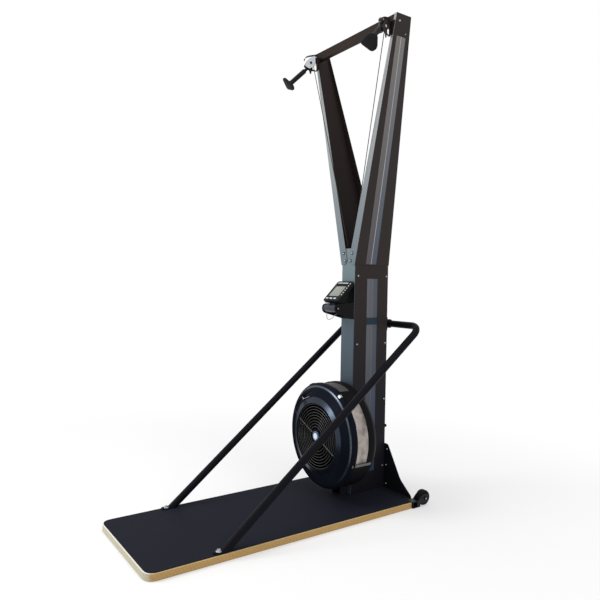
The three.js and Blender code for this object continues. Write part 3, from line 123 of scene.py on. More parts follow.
# %% Shared places
SIDES = {"left": -1, "right": 1}
FRONT, TOP = -0.6725, 2.150
FACE, COLUMN_BACK = FRONT + 1.055, FRONT + 1.264
COLUMN_HALF, SHEET = 0.048, 0.003
ARM_FOOT, ARM_SPREAD = 1.095, 0.292
ARM_FACE = FACE - 0.0028
BAR_HALF, BAR_Z = 0.247, 0.820
FAN_Z = 0.317
HINGE_Y, HINGE_Z = FACE - 0.095, 0.8955
WHEEL_Y, WHEEL_Z = FRONT + 1.311, 0.0355
SLOPE = (ARM_SPREAD - COLUMN_HALF) / (TOP - ARM_FOOT)


def arm_outer(z):
    """How far out an arm's outer side is at a height."""
    return COLUMN_HALF + SLOPE * (z - ARM_FOOT)


print("column face", round(FACE, 4), "arms lean", round(math.degrees(math.atan(SLOPE)), 1), "degrees")

# %% [markdown]
# ## Building nodes
# Materials and geometry trees are both made of nodes. They could be drawn by hand in the editor, but a
# script can be read and run again. One method makes any node from its type, its settings and its sockets. A
# wire out of a node can then be added, multiplied or compared as a plain number is.

# %% Wires that do arithmetic
class Wire:
    """One output of a node."""

    def __init__(self, bench, socket):
        self.bench = bench
        self.socket = socket

    def __add__(self, other):
        return self.bench.sum("ADD", self, other)

    def __radd__(self, other):
        return self.bench.sum("ADD", other, self)

    def __sub__(self, other):
        return self.bench.sum("SUBTRACT", self, other)

    def __rsub__(self, other):
        return self.bench.sum("SUBTRACT", other, self)

    def __mul__(self, other):
        return self.bench.sum("MULTIPLY", self, other)

    def __rmul__(self, other):
        return self.bench.sum("MULTIPLY", other, self)

    def __truediv__(self, other):
        return self.bench.sum("DIVIDE", self, other)

    def through(self, operation, *others):
        """This value through a named sum, such as its root, or the larger of it and another."""
        return self.bench.sum(operation, self, *others)

    def above(self, edge, soft):
        """0 below an edge, 1 above it, with a soft step between."""
        sockets = {"Value": self, "From Min": edge - soft, "From Max": edge + soft}
        return self.bench.node("ShaderNodeMapRange", {"interpolation_type": "SMOOTHSTEP"}, sockets)

    def between(self, low, high, soft):
        """1 between two edges, 0 outside them."""
        return self.above(low, soft) * (1 - self.above(high, soft))


print("wires ready")


# %% The bench that nodes are built on
class Bench:
    """A node tree under construction."""

    def __init__(self, tree):
        self.tree = tree

    def node(self, kind, settings=None, sockets=None, output=0):
        """Any node: its settings are set first, then its sockets get values or wires."""
        made = self.tree.nodes.new(kind)
        for key, value in (settings or {}).items():
            if key == "stops":
                while len(made.color_ramp.elements) < len(value):
                    made.color_ramp.elements.new(1)
                for element, (place, colour) in zip(made.color_ramp.elements, value):
                    element.position = place
                    element.color = (*colour, 1)
            else:
                setattr(made, key, value)
        for key, value in (sockets or {}).items():
            if isinstance(value, Wire):
                self.tree.links.new(value.socket, made.inputs[key])
            else:
                made.inputs[key].default_value = value
        return Wire(self, made.outputs[output])

    def more(self, wire, output):
        """Another output of the node that a wire comes from."""
        return Wire(self, wire.socket.node.outputs[output])

    def sum(self, operation, *values):
        return self.node("ShaderNodeMath", {"operation": operation}, dict(enumerate(values)))

    def parts(self, vector):
        """A vector's x, y and z."""
        x = self.node("ShaderNodeSeparateXYZ", None, {0: vector})
        return x, self.more(x, 1), self.more(x, 2)

    def place(self):
        """The surface's place in the machine, as a vector and as its x, y and z."""
        where = self.node("ShaderNodeTexCoord", output="Object")
        return where, *self.parts(where)

    def facing(self):
        """The direction that the surface faces, as its x, y and z."""
        return self.parts(self.node("ShaderNodeNewGeometry", output="Normal"))

    def chart(self):
        """The piece's own map, as its u and v."""
        return self.parts(self.node("ShaderNodeTexCoord", output="UV"))[:2]

    def distance(self, first, second):
        """How far off an axis a point is, from its two offsets."""
        return (first * first + second * second).through("SQRT")

    def noise(self, where, scale, detail=2.0, roughness=0.5):
        sockets = {"Vector": where, "Scale": scale, "Detail": detail, "Roughness": roughness}
        return self.node("ShaderNodeTexNoise", None, sockets)

    def ramp(self, factor, *stops):
        return self.node("ShaderNodeValToRGB", {"stops": stops}, {0: factor})

    def blend(self, factor, first, second):
        """A colour between two others."""
        first, second = (c if isinstance(c, Wire) else (*c, 1) for c in (first, second))
        return self.node("ShaderNodeMix", {"data_type": "RGBA"}, {0: factor, 6: first, 7: second}, 2)

    def stretched(self, where, x, y, z):
        """A place scaled along each axis, which draws a pattern out into lines."""
        return self.node("ShaderNodeVectorMath", {"operation": "MULTIPLY"}, {0: where, 1: (x, y, z)})


print("bench ready")

# %% [markdown]
# ## Finishes
# A finish is one Principled shader. It could be a plain colour, but real surfaces vary. What is the same
# all over stands on the shader's own sockets, and colour, roughness, metal and bump are fed by nodes. Each
# finish also names the record's material slot that it stands for.

# %% Finish helper
FINISHES = {}


class Finish:
    """A named material with its shader, its bench and the record's slot."""

    def __init__(self, name, slot, **constants):
        self.material = bpy.data.materials.new(name)
        self.material.use_nodes = True
        self.slot = slot
        self.bench = Bench(self.material.node_tree)
        self.shader = self.material.node_tree.nodes["Principled BSDF"]
        for key, value in constants.items():
            self.shader.inputs[key.replace("_", " ")].default_value = value
        FINISHES[name] = self

    def feed(self, **wires):
        for key, wire in wires.items():
            self.material.node_tree.links.new(wire.socket, self.shader.inputs[key.replace("_", " ")])
        return self

    def bump(self, height, depth, strength=1.0):
        """Raises the surface by a height of 0 to 1 times a depth in metres."""
        sockets = {"Height": height, "Distance": depth, "Strength": strength}
        return self.feed(Normal=self.bench.node("ShaderNodeBump", None, sockets))


def coated(name, slot, dark, light, rough, grain, depth, broad=5.0, **constants):
    """Powder coat or moulded plastic: a fine orange peel, and tone that drifts over the part."""
    made = Finish(name, slot, **constants)
    bench = made.bench
    where = bench.place()[0]
    drift = bench.noise(where, broad, 3)
    peel = bench.noise(where, grain, 2)
    made.feed(Base_Color=bench.blend(drift, dark, light),
              Roughness=rough + 0.10 * (drift - 0.5) + 0.06 * peel).bump(peel, depth)


print("finish helpers ready")

# %% [markdown]
# ## Coats and mouldings
# The tubes, plates, mouldings and rubber parts are all black or grey at first sight, but each has its own
# tone, gloss and grain. Powder coat and moulded plastic share an orange peel, so one function makes them
# all, and only its numbers change.

# %% Coats and mouldings
coated("satin_black", "black_tube", (0.008, 0.009, 0.012), (0.014, 0.014, 0.018), 0.36, 900, 0.00006,
       Specular_IOR_Level=0.12)
coated("bar_black", "black_tube", (0.0035, 0.0036, 0.0055), (0.0065, 0.0065, 0.0100), 0.36, 900, 0.00006,
       Specular_IOR_Level=0.04)
coated("moulded_black", "black_moulding", (0.004, 0.004, 0.005), (0.008, 0.0075, 0.009), 0.40, 1400, 0.00005,
       Specular_IOR_Level=0.05)
coated("housing_black", "black_moulding", (0.0030, 0.0030, 0.0040), (0.0055, 0.0055, 0.0070), 0.50, 1400,
       0.00005, Specular_IOR_Level=0.05)
coated("deep_black", "black_tube", (0.0035, 0.0030, 0.0035), (0.0070, 0.0060, 0.0070), 0.42, 900, 0.00005,
       Specular_IOR_Level=0.07)
coated("block_brown", "black_moulding", (0.013, 0.0085, 0.008), (0.025, 0.017, 0.015), 0.40, 1400, 0.00005,
       30.0, Specular_IOR_Level=0.10)
coated("bar_brown", "tower_sheet", (0.011, 0.0065, 0.0050), (0.027, 0.018, 0.013), 0.44, 1100, 0.00005, 6.0,
       Specular_IOR_Level=0.06)
coated("handle_rubber", "handle_rubber", (0.005, 0.005, 0.005), (0.009, 0.009, 0.009), 0.60, 1800, 0.00008,
       Specular_IOR_Level=0.12)
coated("tyre", "wheel_rubber", (0.004, 0.0035, 0.004), (0.008, 0.007, 0.008), 0.62, 1300, 0.0001,
       Specular_IOR_Level=0.10)
coated("wheel_black", "fan_wheel", (0.003, 0.003, 0.004), (0.006, 0.006, 0.007), 0.5, 900, 0.00005,
       Specular_IOR_Level=0.06)
coated("ring_wire", "fan_wheel", (0.016, 0.015, 0.015), (0.028, 0.026, 0.025), 0.30, 900, 0.00004, 40.0,
       Specular_IOR_Level=0.45)
coated("spoke_grey", "black_tube", (0.10, 0.095, 0.09), (0.17, 0.16, 0.155), 0.34, 900, 0.00004, 40.0,
       Metallic=0.5)
coated("key_grey", "button_grey", (0.40, 0.43, 0.46), (0.52, 0.55, 0.58), 0.42, 2600, 0.00002, 40.0)
coated("lead_grey", "lead_grey", (0.085, 0.085, 0.085), (0.14, 0.14, 0.135), 0.5, 2400, 0.00003, 30.0)
coated("barrel_gloss", "black_moulding", (0.010, 0.016, 0.026), (0.016, 0.025, 0.038), 0.20, 1400, 0.00003,
       Specular_IOR_Level=0.35)
print("coats", sorted(FINISHES))

# %% [markdown]
# ## Painted metal
# The column's face and the arms' front flanges wear a blue-grey paint with fine metal flakes. Light and
# shade are painted into it: it is paler high up, where the lights catch it, and deeper near the deck. The
# sides are a brown-black that turns to navy black low down. Two flat colours would lose that, so both
# paints take their colour from the height.

# %% Front and side paint
FLANGE_BACK = FRONT + 1.0575
SHADED_LOW, LIT_HIGH = 0.5, 2.1
# Front paint tones with painted light: deeper in shade low down, paler where lit high up.
FRONT_LIT_TONES = [(0.66, (0.036, 0.058, 0.078)), (0.82, (0.050, 0.080, 0.107)), (1.04, (0.110, 0.160, 0.177)),
               (1.20, (0.150, 0.186, 0.208)), (1.39, (0.190, 0.216, 0.230)), (1.60, (0.268, 0.285, 0.292)),
               (1.85, (0.300, 0.305, 0.312))]


def front_paint_and_light(bench):
    """Colour, roughness and bump height of the front paint, with painted light and shade by height."""
    where, _, _, z = bench.place()
    flakes = bench.noise(where, 2400, 1)
    drift = bench.noise(where, 4, 3)
    height = bench.node("ShaderNodeMapRange", None,
                        {"Value": z, "From Min": SHADED_LOW, "From Max": LIT_HIGH})
    stops = [((z_stop - SHADED_LOW) / (LIT_HIGH - SHADED_LOW), tone) for z_stop, tone in FRONT_LIT_TONES]
    # Painted light and shade: the tone follows the height.
    tone = bench.ramp(height + 0.06 * (drift - 0.5), *stops)
    speckled = bench.blend(0.06 * flakes, tone, (0.50, 0.58, 0.62))
    return speckled, 0.36 + 0.12 * drift + 0.05 * flakes, flakes


def side_paint(bench):
    """The brown-black of the sides, turning to navy black near the deck."""
    where, _, _, z = bench.place()
    drift = bench.noise(where, 5, 3)
    high = bench.blend(drift, (0.023, 0.017, 0.0165), (0.030, 0.024, 0.0235))
    low = bench.blend(drift, (0.007, 0.007, 0.010), (0.012, 0.012, 0.017))
    return bench.blend(z.above(0.62, 0.34), low, high)


made = Finish("front_metal", "front_metal", Metallic=0.15, Specular_IOR_Level=0.25)
colour, rough, flakes = front_paint_and_light(made.bench)
made.feed(Base_Color=colour, Roughness=rough).bump(flakes, 0.00002)

made = Finish("tower_brown", "tower_sheet", Specular_IOR_Level=0.08)
peel = made.bench.noise(made.bench.place()[0], 1100, 2)
made.feed(Base_Color=side_paint(made.bench), Roughness=0.42 + 0.08 * peel).bump(peel, 0.00005)
print("front paint in", len(FRONT_LIT_TONES), "tones")

# %% [markdown]
# ## Two colours on one arm
# Each arm is one folded channel with a blue-grey front and a brown-black side. Its inside is painted
# darker, as shade inside the channel, and its front carries the front paint's painted light. It could be
# cut up by colour, but one piece keeps its fold whole, so the finish asks where the surface lies and which
# way it faces.

# %% Arm paint
made = Finish("arm_paint", "tower_sheet", Specular_IOR_Level=0.10)
bench = made.bench
colour, rough, flakes = front_paint_and_light(bench)
where, x, y, z = bench.place()
faces_x, faces_y, _ = bench.facing()
inside = 1 - (faces_x * x).above(-0.001, 0.001)
front = (1 - y.above(FLANGE_BACK, 0.0002)) * faces_y.through("LESS_THAN", -0.5)
peel = bench.noise(where, 1100, 2)
# Painted shade: the inside of the channel is darker than the side paint.
side_with_shaded_inside = bench.blend(inside, side_paint(bench), (0.0145, 0.0088, 0.0082))
made.feed(Base_Color=bench.blend(front, side_with_shaded_inside, colour), Roughness=0.44 - 0.08 * front + 0.05 * peel)
made.bump(peel, 0.00004)
print("flange back at", round(FLANGE_BACK, 4))

# %% [markdown]
# ## Birch plywood
# The deck is birch plywood, so its edge shows thin layers, pale where they end at the front and honey brown
# along the sides. A wave texture in z gives the layers, and noise drawn out along the grain breaks them up.
# A pale line along the top edge is a painted highlight, and a dark line along the bottom of the edge is a
# painted shadow under the board.

# %% Birch plywood
PLY_WAVES = 78.0
made = Finish("birch_edge", "board_ply", Specular_IOR_Level=0.2)
bench = made.bench
where, x, y, z = bench.place()
grain = bench.noise(bench.stretched(where, 1, 0.12, 6), 160, 4)
fibres = bench.noise(bench.stretched(where, 8, 8, 40), 60, 3)
layer = bench.node("ShaderNodeTexWave", {"bands_direction": "Z", "wave_profile": "SIN"},
                   {"Vector": where, "Scale": PLY_WAVES, "Distortion": 1.2, "Detail": 2.0,
                    "Detail Scale": 0.4})
sides = bench.ramp(layer * 0.7 + grain * 0.3, (0.15, (0.20, 0.095, 0.022)), (0.5, (0.43, 0.245, 0.075)),
                   (0.85, (0.68, 0.48, 0.20)))
ends = bench.ramp(layer * 0.6 + fibres * 0.4, (0.1, (0.32, 0.27, 0.15)), (0.5, (0.50, 0.46, 0.32)),
                  (0.9, (0.70, 0.68, 0.56)))
at_end = (bench.facing()[1] * -1).above(0.62, 0.22)
wood = bench.blend(at_end, sides, ends)
# Painted highlight along the top of the edge, paler at the front end.
top_highlight_tone = bench.blend(y.above(-0.655, 0.02), (0.90, 0.88, 0.82), (0.56, 0.42, 0.22))
with_top_highlight = bench.blend(z.above(0.0272, 0.0006), wood, top_highlight_tone)
# Painted shadow: a dark line along the bottom of the edge.
under = bench.blend(1 - z.above(0.0021, 0.0002), with_top_highlight, (0.012, 0.012, 0.013))
made.feed(Base_Color=under, Roughness=0.42 + 0.25 * grain).bump(layer * 0.4 + grain * 0.6, 0.00025)
print("plies about", round(1000 * 2 * math.pi / PLY_WAVES / 20, 1), "mm")

# %% [markdown]
# ## Rubber mat
# The mat that the user stands on is rubber with a fine leathery grain, dulled by shoes. Noise alone would
# look like dust, so Voronoi cells give the grain its pebbles at their real size, and a noise drawn out
# along the deck gives the scuffs.

# %% Rubber mat
MAT_CELLS = 620.0
made = Finish("mat_rubber", "deck_mat", Specular_IOR_Level=0.04)
bench = made.bench
where = bench.place()[0]
pebbles = bench.node("ShaderNodeTexVoronoi", {"feature": "DISTANCE_TO_EDGE"},
                     {"Vector": where, "Scale": MAT_CELLS})
scuffs = bench.noise(bench.stretched(where, 1, 0.35, 1), 9, 5, 0.6)
tone = bench.blend(scuffs, (0.0080, 0.0088, 0.0150), (0.0145, 0.0155, 0.0235))
pebbled = bench.blend(0.25 * pebbles.above(0.1, 0.1), tone, (0.020, 0.022, 0.031))
made.feed(Base_Color=pebbled, Roughness=0.62 + 0.22 * scuffs).bump(pebbles, 0.0003, 0.6)
print("mat cells about", round(1000 / MAT_CELLS, 1), "mm")

# %% [markdown]
# ## Bright metals
# Zinc screws, turned spools and the steel plates of the head blocks are bare metal. A plain metal would
# look like chrome, so each has fine drawn lines in its roughness and a faint stain in its colour. The
# plates' edges are darker than their flat sides, and the direction that they face tells the two apart.

# %% Bright metals
def drawn_metal(name, slot, dark, light, rough, stretch):
    """Metal with the fine lines of its brushing or turning."""
    made = Finish(name, slot, Metallic=1.0)
    bench = made.bench
    where = bench.place()[0]
    lines = bench.noise(bench.stretched(where, *stretch), 700, 3)
    stain = bench.noise(where, 35, 2)
    made.feed(Base_Color=bench.blend(stain, dark, light), Roughness=rough + 0.16 * lines).bump(lines, 0.00003)


drawn_metal("zinc", "bright_fastener", (0.40, 0.43, 0.46), (0.58, 0.61, 0.64), 0.30, (1, 1, 1))
drawn_metal("turned_aluminium", "spool_metal", (0.45, 0.46, 0.47), (0.62, 0.63, 0.64), 0.3, (1, 9, 1))

made = Finish("block_steel", "block_steel", Metallic=1.0)
bench = made.bench
where = bench.place()[0]
flat_side = bench.facing()[0].through("ABSOLUTE").above(0.75, 0.08)
lines = bench.noise(bench.stretched(where, 1, 1, 9), 700, 3)
plate = bench.blend(bench.noise(where, 20, 2), (0.30, 0.32, 0.34), (0.37, 0.39, 0.41))
made.feed(Base_Color=bench.blend(flat_side, (0.05, 0.05, 0.055), plate), Roughness=0.34 + 0.16 * lines)
made.bump(lines, 0.00001, 0.5)
METAL_SLOTS = ("bright_fastener", "block_steel", "spool_metal")
print("metals", [n for n in FINISHES if FINISHES[n].slot in METAL_SLOTS])

# %% [markdown]
# ## Bolts with a bright eye
# The hinge bolt, the wheel bolts and the pulley pins are blacked, and a painted highlight makes their
# middles bright. A second piece for the eye would be needless, because a distance from the bolt's axis,
# or from the machine's outside, tells the two apart.

# %% Bolts with a bright eye
def eyed(name, distance, edge):
    """A blacked bolt with a painted highlight where a distance is small."""
    made = Finish(name, "bright_fastener", Metallic=0.8, Roughness=0.34)
    bench = made.bench
    away = distance(bench)
    grain = bench.noise(bench.place()[0], 1500, 2)
    # Painted highlight: the eye takes a bright glint colour.
    bright = bench.blend(grain, (0.48, 0.48, 0.49), (0.68, 0.68, 0.69))
    made.feed(Base_Color=bench.blend(away.above(edge, 0.0004), bright, (0.010, 0.010, 0.012)))
    made.bump(grain, 0.00002)


def from_axis(axis_y, axis_z):
    """Distance from an axis that runs across the machine."""
    def measured(bench):
        _, _, y, z = bench.place()
        return bench.distance(y - axis_y, z - axis_z)
    return measured


EYE_RADIUS, PIN_END = 0.0030, 0.2620
eyed("tilt_eye", from_axis(HINGE_Y, HINGE_Z), EYE_RADIUS)
eyed("wheel_eye", from_axis(WHEEL_Y, WHEEL_Z), EYE_RADIUS)
eyed("pulley_eye", lambda bench: PIN_END - bench.place()[1].through("ABSOLUTE"), 0.0)
print("eyes", [n for n in FINISHES if n.endswith("_eye")])

# %% [markdown]
# ## Pieces from profiles, paths and solids
# Three helpers make most shapes: a lathe turns a profile round an axis, a tube follows a path, and a
# dressed copy welds a CAD solid and rounds its edges, because real folded or moulded edges catch the light.
# Modelling each piece by hand would give the same forms with far more work, and none of the measures would
# be written.

# %% Meshes
def add_object(name, mesh):
    piece = bpy.data.objects.new(name, mesh)
    bpy.context.scene.collection.objects.link(piece)
    return piece


def soften(mesh, angle=38):
    """Smooth shading that breaks at edges sharper than an angle."""
    mesh.shade_smooth()
    mesh.set_sharp_from_angle(angle=math.radians(angle))


def closed_mesh(name, bm, angle=38, outward=True):
    """A plain mesh from a working one, with its doubles merged and its faces outwards."""
    bmesh.ops.remove_doubles(bm, verts=bm.verts, dist=1e-6)
    if outward:
        bmesh.ops.recalc_face_normals(bm, faces=bm.faces)
    mesh = bpy.data.meshes.new(name)
    bm.to_mesh(mesh)
    bm.free()
    soften(mesh, angle)
    return mesh


def flattened(piece):
    """Applies a piece's modifiers, so that it is one plain mesh."""
    bpy.context.view_layer.update()
    mesh = bpy.data.meshes.new_from_object(piece.evaluated_get(bpy.context.evaluated_depsgraph_get()))
    piece.modifiers.clear()
    piece.data = mesh


print("mesh helpers ready")

# %% [markdown]
# ## Settling a piece
# A finished shape still has to join the machine: it takes a finish, rides on a body, and stands for the
# solid that it replaces. Doing that in one call keeps any piece from being left behind when a joint moves.

# %% Settling a piece
def painted(piece, finish):
    """Gives a piece its finish."""
    piece.data.materials.clear()
    piece.data.materials.append(FINISHES[finish].material)
    return piece


def settle(piece, finish, *stands_for, body=None):
    """Gives a finished piece its finish and its body, and hides the CAD nodes that it stands for."""
    painted(piece, finish)
    if stands_for:
        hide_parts(*stands_for)
    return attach(piece, body or body_of(nodes[stands_for[0]])[0])


def closed_piece(name, bm, angle, finish, *stands_for, body=None):
    """Closes a working mesh and settles it."""
    return settle(add_object(name, closed_mesh(name, bm, angle)), finish, *stands_for, body=body)


def dressed(node, finish, width, steps=2, angle=30):
    """A welded copy of a CAD solid with rounded edges."""
    bm = bmesh.new()
    bm.from_mesh(nodes[node].data)
    bmesh.ops.remove_doubles(bm, verts=bm.verts, dist=1e-5)
    bmesh.ops.dissolve_limit(bm, angle_limit=math.radians(0.5), verts=bm.verts, edges=bm.edges)
    piece = add_object(node + "_dressed", closed_mesh(node + "_dressed", bm, angle, outward=False))
    edges = piece.modifiers.new("edges", "BEVEL")
    edges.width = width
    edges.segments = steps
    edges.limit_method = "ANGLE"
    edges.angle_limit = math.radians(angle)
    edges.harden_normals = True
    edges.use_clamp_overlap = True
    flattened(piece)
    return settle(piece, finish, node)


print("settling ready")

# %% [markdown]
# ## The lathe
# Wheels, pulleys, spools and the fan's mouldings are round. Blender's Spin would make them too, but it can
# turn a shape inside out. The lathe sets each ring of points itself, so its faces are known and its poles
# close.

# %% The lathe
def round_frame(axis):
    """Two directions across an axis. About the fan's axis they are right and up."""
    axis = Vector(axis).normalized()
    first = Vector((1, 0, 0)) if abs(axis.x) < 0.8 else Vector((0, 1, 0))
    first = (first - axis * first.dot(axis)).normalized()
    second = first.cross(axis) if axis.y > 0.5 else axis.cross(first)
    return axis, first, second.normalized()


def lathe(bm, profile, centre, axis, sides):
    """Adds a profile of (radius, distance along the axis) turned round an axis."""
    axis, first, second = round_frame(axis)
    rings = []
    for radius, along in profile:
        middle = Vector(centre) + axis * along
        if radius < 1e-7:
            rings.append([bm.verts.new(middle)] * sides)
            continue
        turns = [2 * math.pi * step / sides for step in range(sides)]
        offsets = [radius * (first * math.cos(t) + second * math.sin(t)) for t in turns]
        rings.append([bm.verts.new(middle + offset) for offset in offsets])
    for low, high in zip(rings, rings[1:]):
        for step in range(sides):
            after = (step + 1) % sides
            corners = list(dict.fromkeys((low[step], low[after], high[after], high[step])))
            if len(corners) > 2:
                bm.faces.new(corners)


print("lathe ready")

# %% Rounded profiles
def corner_curve(before, corner, after, reach, steps):
    """Points of the curve that rounds one corner of an outline."""
    start = corner + (before - corner).normalized() * reach
    end = corner + (after - corner).normalized() * reach
    shares = [step / steps for step in range(steps + 1)]
    return [start * (1 - s) ** 2 + corner * 2 * s * (1 - s) + end * s**2 for s in shares]


def rounded(profile, radius=0.0008, steps=2):
    """A profile whose inner corners are rounded, as turned or moulded edges are."""
    result = [profile[0]]
    for before, corner, after in zip(profile, profile[1:], profile[2:]):
        before, corner, after = Vector(before), Vector(corner), Vector(after)
        reach = min(radius, (before - corner).length * 0.4, (after - corner).length * 0.4)
        result += [tuple(p) for p in corner_curve(before, corner, after, reach, steps)]
    return result + [profile[-1]]


def mirrored(half, closed=True):
    """A profile from its half: the same on both sides of its middle."""
    whole = [(radius, -along) for radius, along in half] + half[::-1]
    return whole + whole[:1] if closed else whole


def widest(profile):
    """How many millimetres across a turned piece is."""
    return round(2000 * max(radius for radius, _ in profile), 1)


def turned(name, profile, centre, axis, finish, *stands_for, sides=64, edge=0.0008, body=None):
    """A closed turned piece. Its profile starts and ends on the axis or in one place."""
    bm = bmesh.new()
    lathe(bm, rounded(profile, edge), centre, axis, sides)
    return closed_piece(name, bm, 38, finish, *stands_for, body=body)


print("profiles ready")

# %% [markdown]
# ## Tubes, outlines and skins
# Bars, cords and wires follow a path, and pads and hoods are skins over sections. A curve with a bevel
# would do for the tubes, but here each gets a map of its own length, which the braid needs.

# %% Tubes, outlines and skins
def tube(bm, path, radius, sides):
    """Adds a capped tube along a path, with a map of its length for a braid or weave."""
    path = [Vector(p) for p in path]
    along = (path[1] - path[0]).normalized()
    side = along.orthogonal().normalized()
    turns = [2 * math.pi * step / sides for step in range(sides)]
    rings, lengths, run = [], [], 0.0
    for index, here in enumerate(path):
        before, after = path[max(index - 1, 0)], path[min(index + 1, len(path) - 1)]
        tangent = ((here - before).normalized() + (after - here).normalized()).normalized()
        side = (side - tangent * side.dot(tangent)).normalized()
        other = tangent.cross(side)
        run += (here - before).length
        lengths.append(run)
        offsets = [radius * (side * math.cos(t) + other * math.sin(t)) for t in turns]
        rings.append([bm.verts.new(here + offset) for offset in offsets])
    layer = bm.loops.layers.uv.verify()
    for low, high, start, end in zip(rings, rings[1:], lengths, lengths[1:]):
        for step in range(sides):
            after = (step + 1) % sides
            face = bm.faces.new((low[step], low[after], high[after], high[step]))
            here, there = step / sides, (step + 1) / sides
            for loop, place in zip(face.loops, ((here, start), (there, start), (there, end), (here, end))):
                loop[layer].uv = place
    bm.faces.new(rings[0][::-1])
    bm.faces.new(rings[-1])


def soft_outline(corners, steps=8):
    """An outline whose corners [x, y, reach] are rounded by curves."""
    line = []
    for index, (x, y, reach) in enumerate(corners):
        before, after = Vector(corners[index - 1][:2]), Vector(corners[(index + 1) % len(corners)][:2])
        line += corner_curve(before, Vector((x, y)), after, reach, steps)
    return line


def stacked(bm, sections):
    """A closed skin over sections of points that all have the same count."""
    rings = [[bm.verts.new(p) for p in section] for section in sections]
    count = len(rings[0])
    for low, high in zip(rings, rings[1:]):
        for step in range(count):
            after = (step + 1) % count
            bm.faces.new((low[step], low[after], high[after], high[step]))
    bm.faces.new(rings[0][::-1])
    bm.faces.new(rings[-1])


print("tube, outline and skin ready")

# %% [markdown]
# ## Cord braid
# The pull cords are braided, so their surface is two sets of strands that wind opposite ways. Modelled ones
# would be far finer than a pixel. The tube's own map gives the turn and the run along the cord, and two
# crossing waves on it make the braid wherever the cord bends.

# %% Cord braid
STRANDS, CROSSINGS = 6, 420
made = Finish("cord_braid", "cord", Specular_IOR_Level=0.2)
bench = made.bench
turn, run = bench.chart()
strands = [(turn * STRANDS + run * sign * CROSSINGS).through("FRACT") * 2 - 1 for sign in (1, -1)]
ridges = [1 - s * s for s in strands]
braid = ridges[0].through("MAXIMUM", ridges[1])
strand_tone = bench.blend(braid, (0.008, 0.008, 0.008), (0.040, 0.038, 0.036))
made.feed(Base_Color=strand_tone, Roughness=0.75 + 0.1 * braid).bump(braid, 0.0003)
print("braid crosses every", round(1000 / CROSSINGS, 1), "mm")

# %% [markdown]
# ## Places on the head pulleys
# At the head of each arm a block holds a pulley, turned outwards so that the cord runs straight to the
# hand. Points in a block are easier to write unturned, so one function takes a place back and up from the
# pulley's centre, and turns it into the machine's frame.

# %% Places on the head pulleys
HEAD_TURN = math.radians(21)
PULLEY_Z = TOP - 0.063
PULLEY_X, PULLEY_Y = arm_outer(PULLEY_Z) - 0.0154, FACE - 0.050
CORD_RADIUS = 0.00175
GROOVE = 0.0105 + CORD_RADIUS + 0.0006
PULLS = {"left": (-1, math.radians(44), 0.008), "right": (1, math.radians(45.3), -0.0128)}


def head_turned(side, back_up):
    return Matrix.Rotation(side * HEAD_TURN, 3, "Z") @ Vector(back_up)


def block_point(side, back, up, aside=0.0):
    """A place in the turned frame of a head block, from its pulley's centre."""
    return head_turned(side, (aside, back, up)) + Vector((side * PULLEY_X, PULLEY_Y, PULLEY_Z))


def pull_direction(side, drop):
    """The way a handle is drawn out, forwards and down."""
    return head_turned(side, (0, -math.cos(drop), -math.sin(drop)))


def handle_start(drop, under, reach=0.021):
    """Back and up from the pulley's centre to the top of a handle at rest."""
    back = under * math.sin(drop) - reach * math.cos(drop)
    return back, -under * math.cos(drop) - reach * math.sin(drop)


def on_groove(side, angle):
    """A place on the pulley's groove."""
    return block_point(side, GROOVE * math.cos(angle), GROOVE * math.sin(angle))


print("pulley", [round(v, 4) for v in (PULLEY_X, PULLEY_Y, PULLEY_Z)])

# %% [markdown]
# ## Pull cords
# Each cord is one line that the machine keeps taut. It leaves its spool inside the column, passes a guide
# roller, goes over the head pulley and ends in its handle. A single blended tube would drag all of its run
# along with the handle. So the run up to the top of the pulley is fixed, and only the last stretch follows.

# %% Pull cords
SPOOL_PITCH, SPOOL_HALF = 0.024, 0.010
SPOOL_Y = {"right": FACE + 0.016 + SPOOL_HALF, "left": FACE + 0.016 + SPOOL_PITCH + SPOOL_HALF}
SPOOL_EDGE = 0.02625
GUIDE_Y, GUIDE_Z = FACE + 0.0157, 1.118
GUIDE_LEAD = 0.006
for label, (side, drop, under) in PULLS.items():
    guide = Vector((side * 0.0021, GUIDE_Y, GUIDE_Z))
    onward = (block_point(side, GROOVE, 0) - guide).normalized() * GUIDE_LEAD
    spool = Vector((SPOOL_EDGE, SPOOL_Y[label], FAN_Z))
    fixed = [spool, guide - Vector((0, 0, GUIDE_LEAD)), guide, guide + onward]
    back, up = handle_start(drop, under)
    leaves = math.atan2(up, back) % (2 * math.pi) - math.acos(GROOVE / math.hypot(back, up))
    square = drop + math.pi / 2
    fixed += [on_groove(side, square * step / 14) for step in range(15)]
    rest = leaves - square
    ending = [on_groove(side, square + rest * step / 7) for step in range(8 if rest > 0.02 else 1)]
    pull = pull_direction(side, drop)
    tip = block_point(side, back, up) - pull * 0.0006
    ending += [ending[-1].lerp(tip, step / 6) for step in range(1, 7)]
    bm = bmesh.new()
    tube(bm, fixed, CORD_RADIUS, 12)
    closed_piece(label + "_pull_cord_braid", bm, 60, "cord_braid", label + "_pull_cord")
    bm = bmesh.new()
    tube(bm, ending, CORD_RADIUS, 12)
    piece = add_object(label + "_pull_cord_end", closed_mesh(label + "_pull_cord_end", bm, 60))
    painted(piece, "cord_braid")
    reach = pull * (tip - ending[0]).dot(pull)
    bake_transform(piece, "frame", label + "_handle", ending[0], ending[0] + reach)
    whole = fixed + ending[1:]
    print(label, "cord", round(sum((b - a).length for a, b in zip(whole, whole[1:])), 4), "m")

# %% [markdown]
# ## Monitor lead
# A thin lead leaves the barrel under the monitor, hangs in a loop and goes back into the bracket.

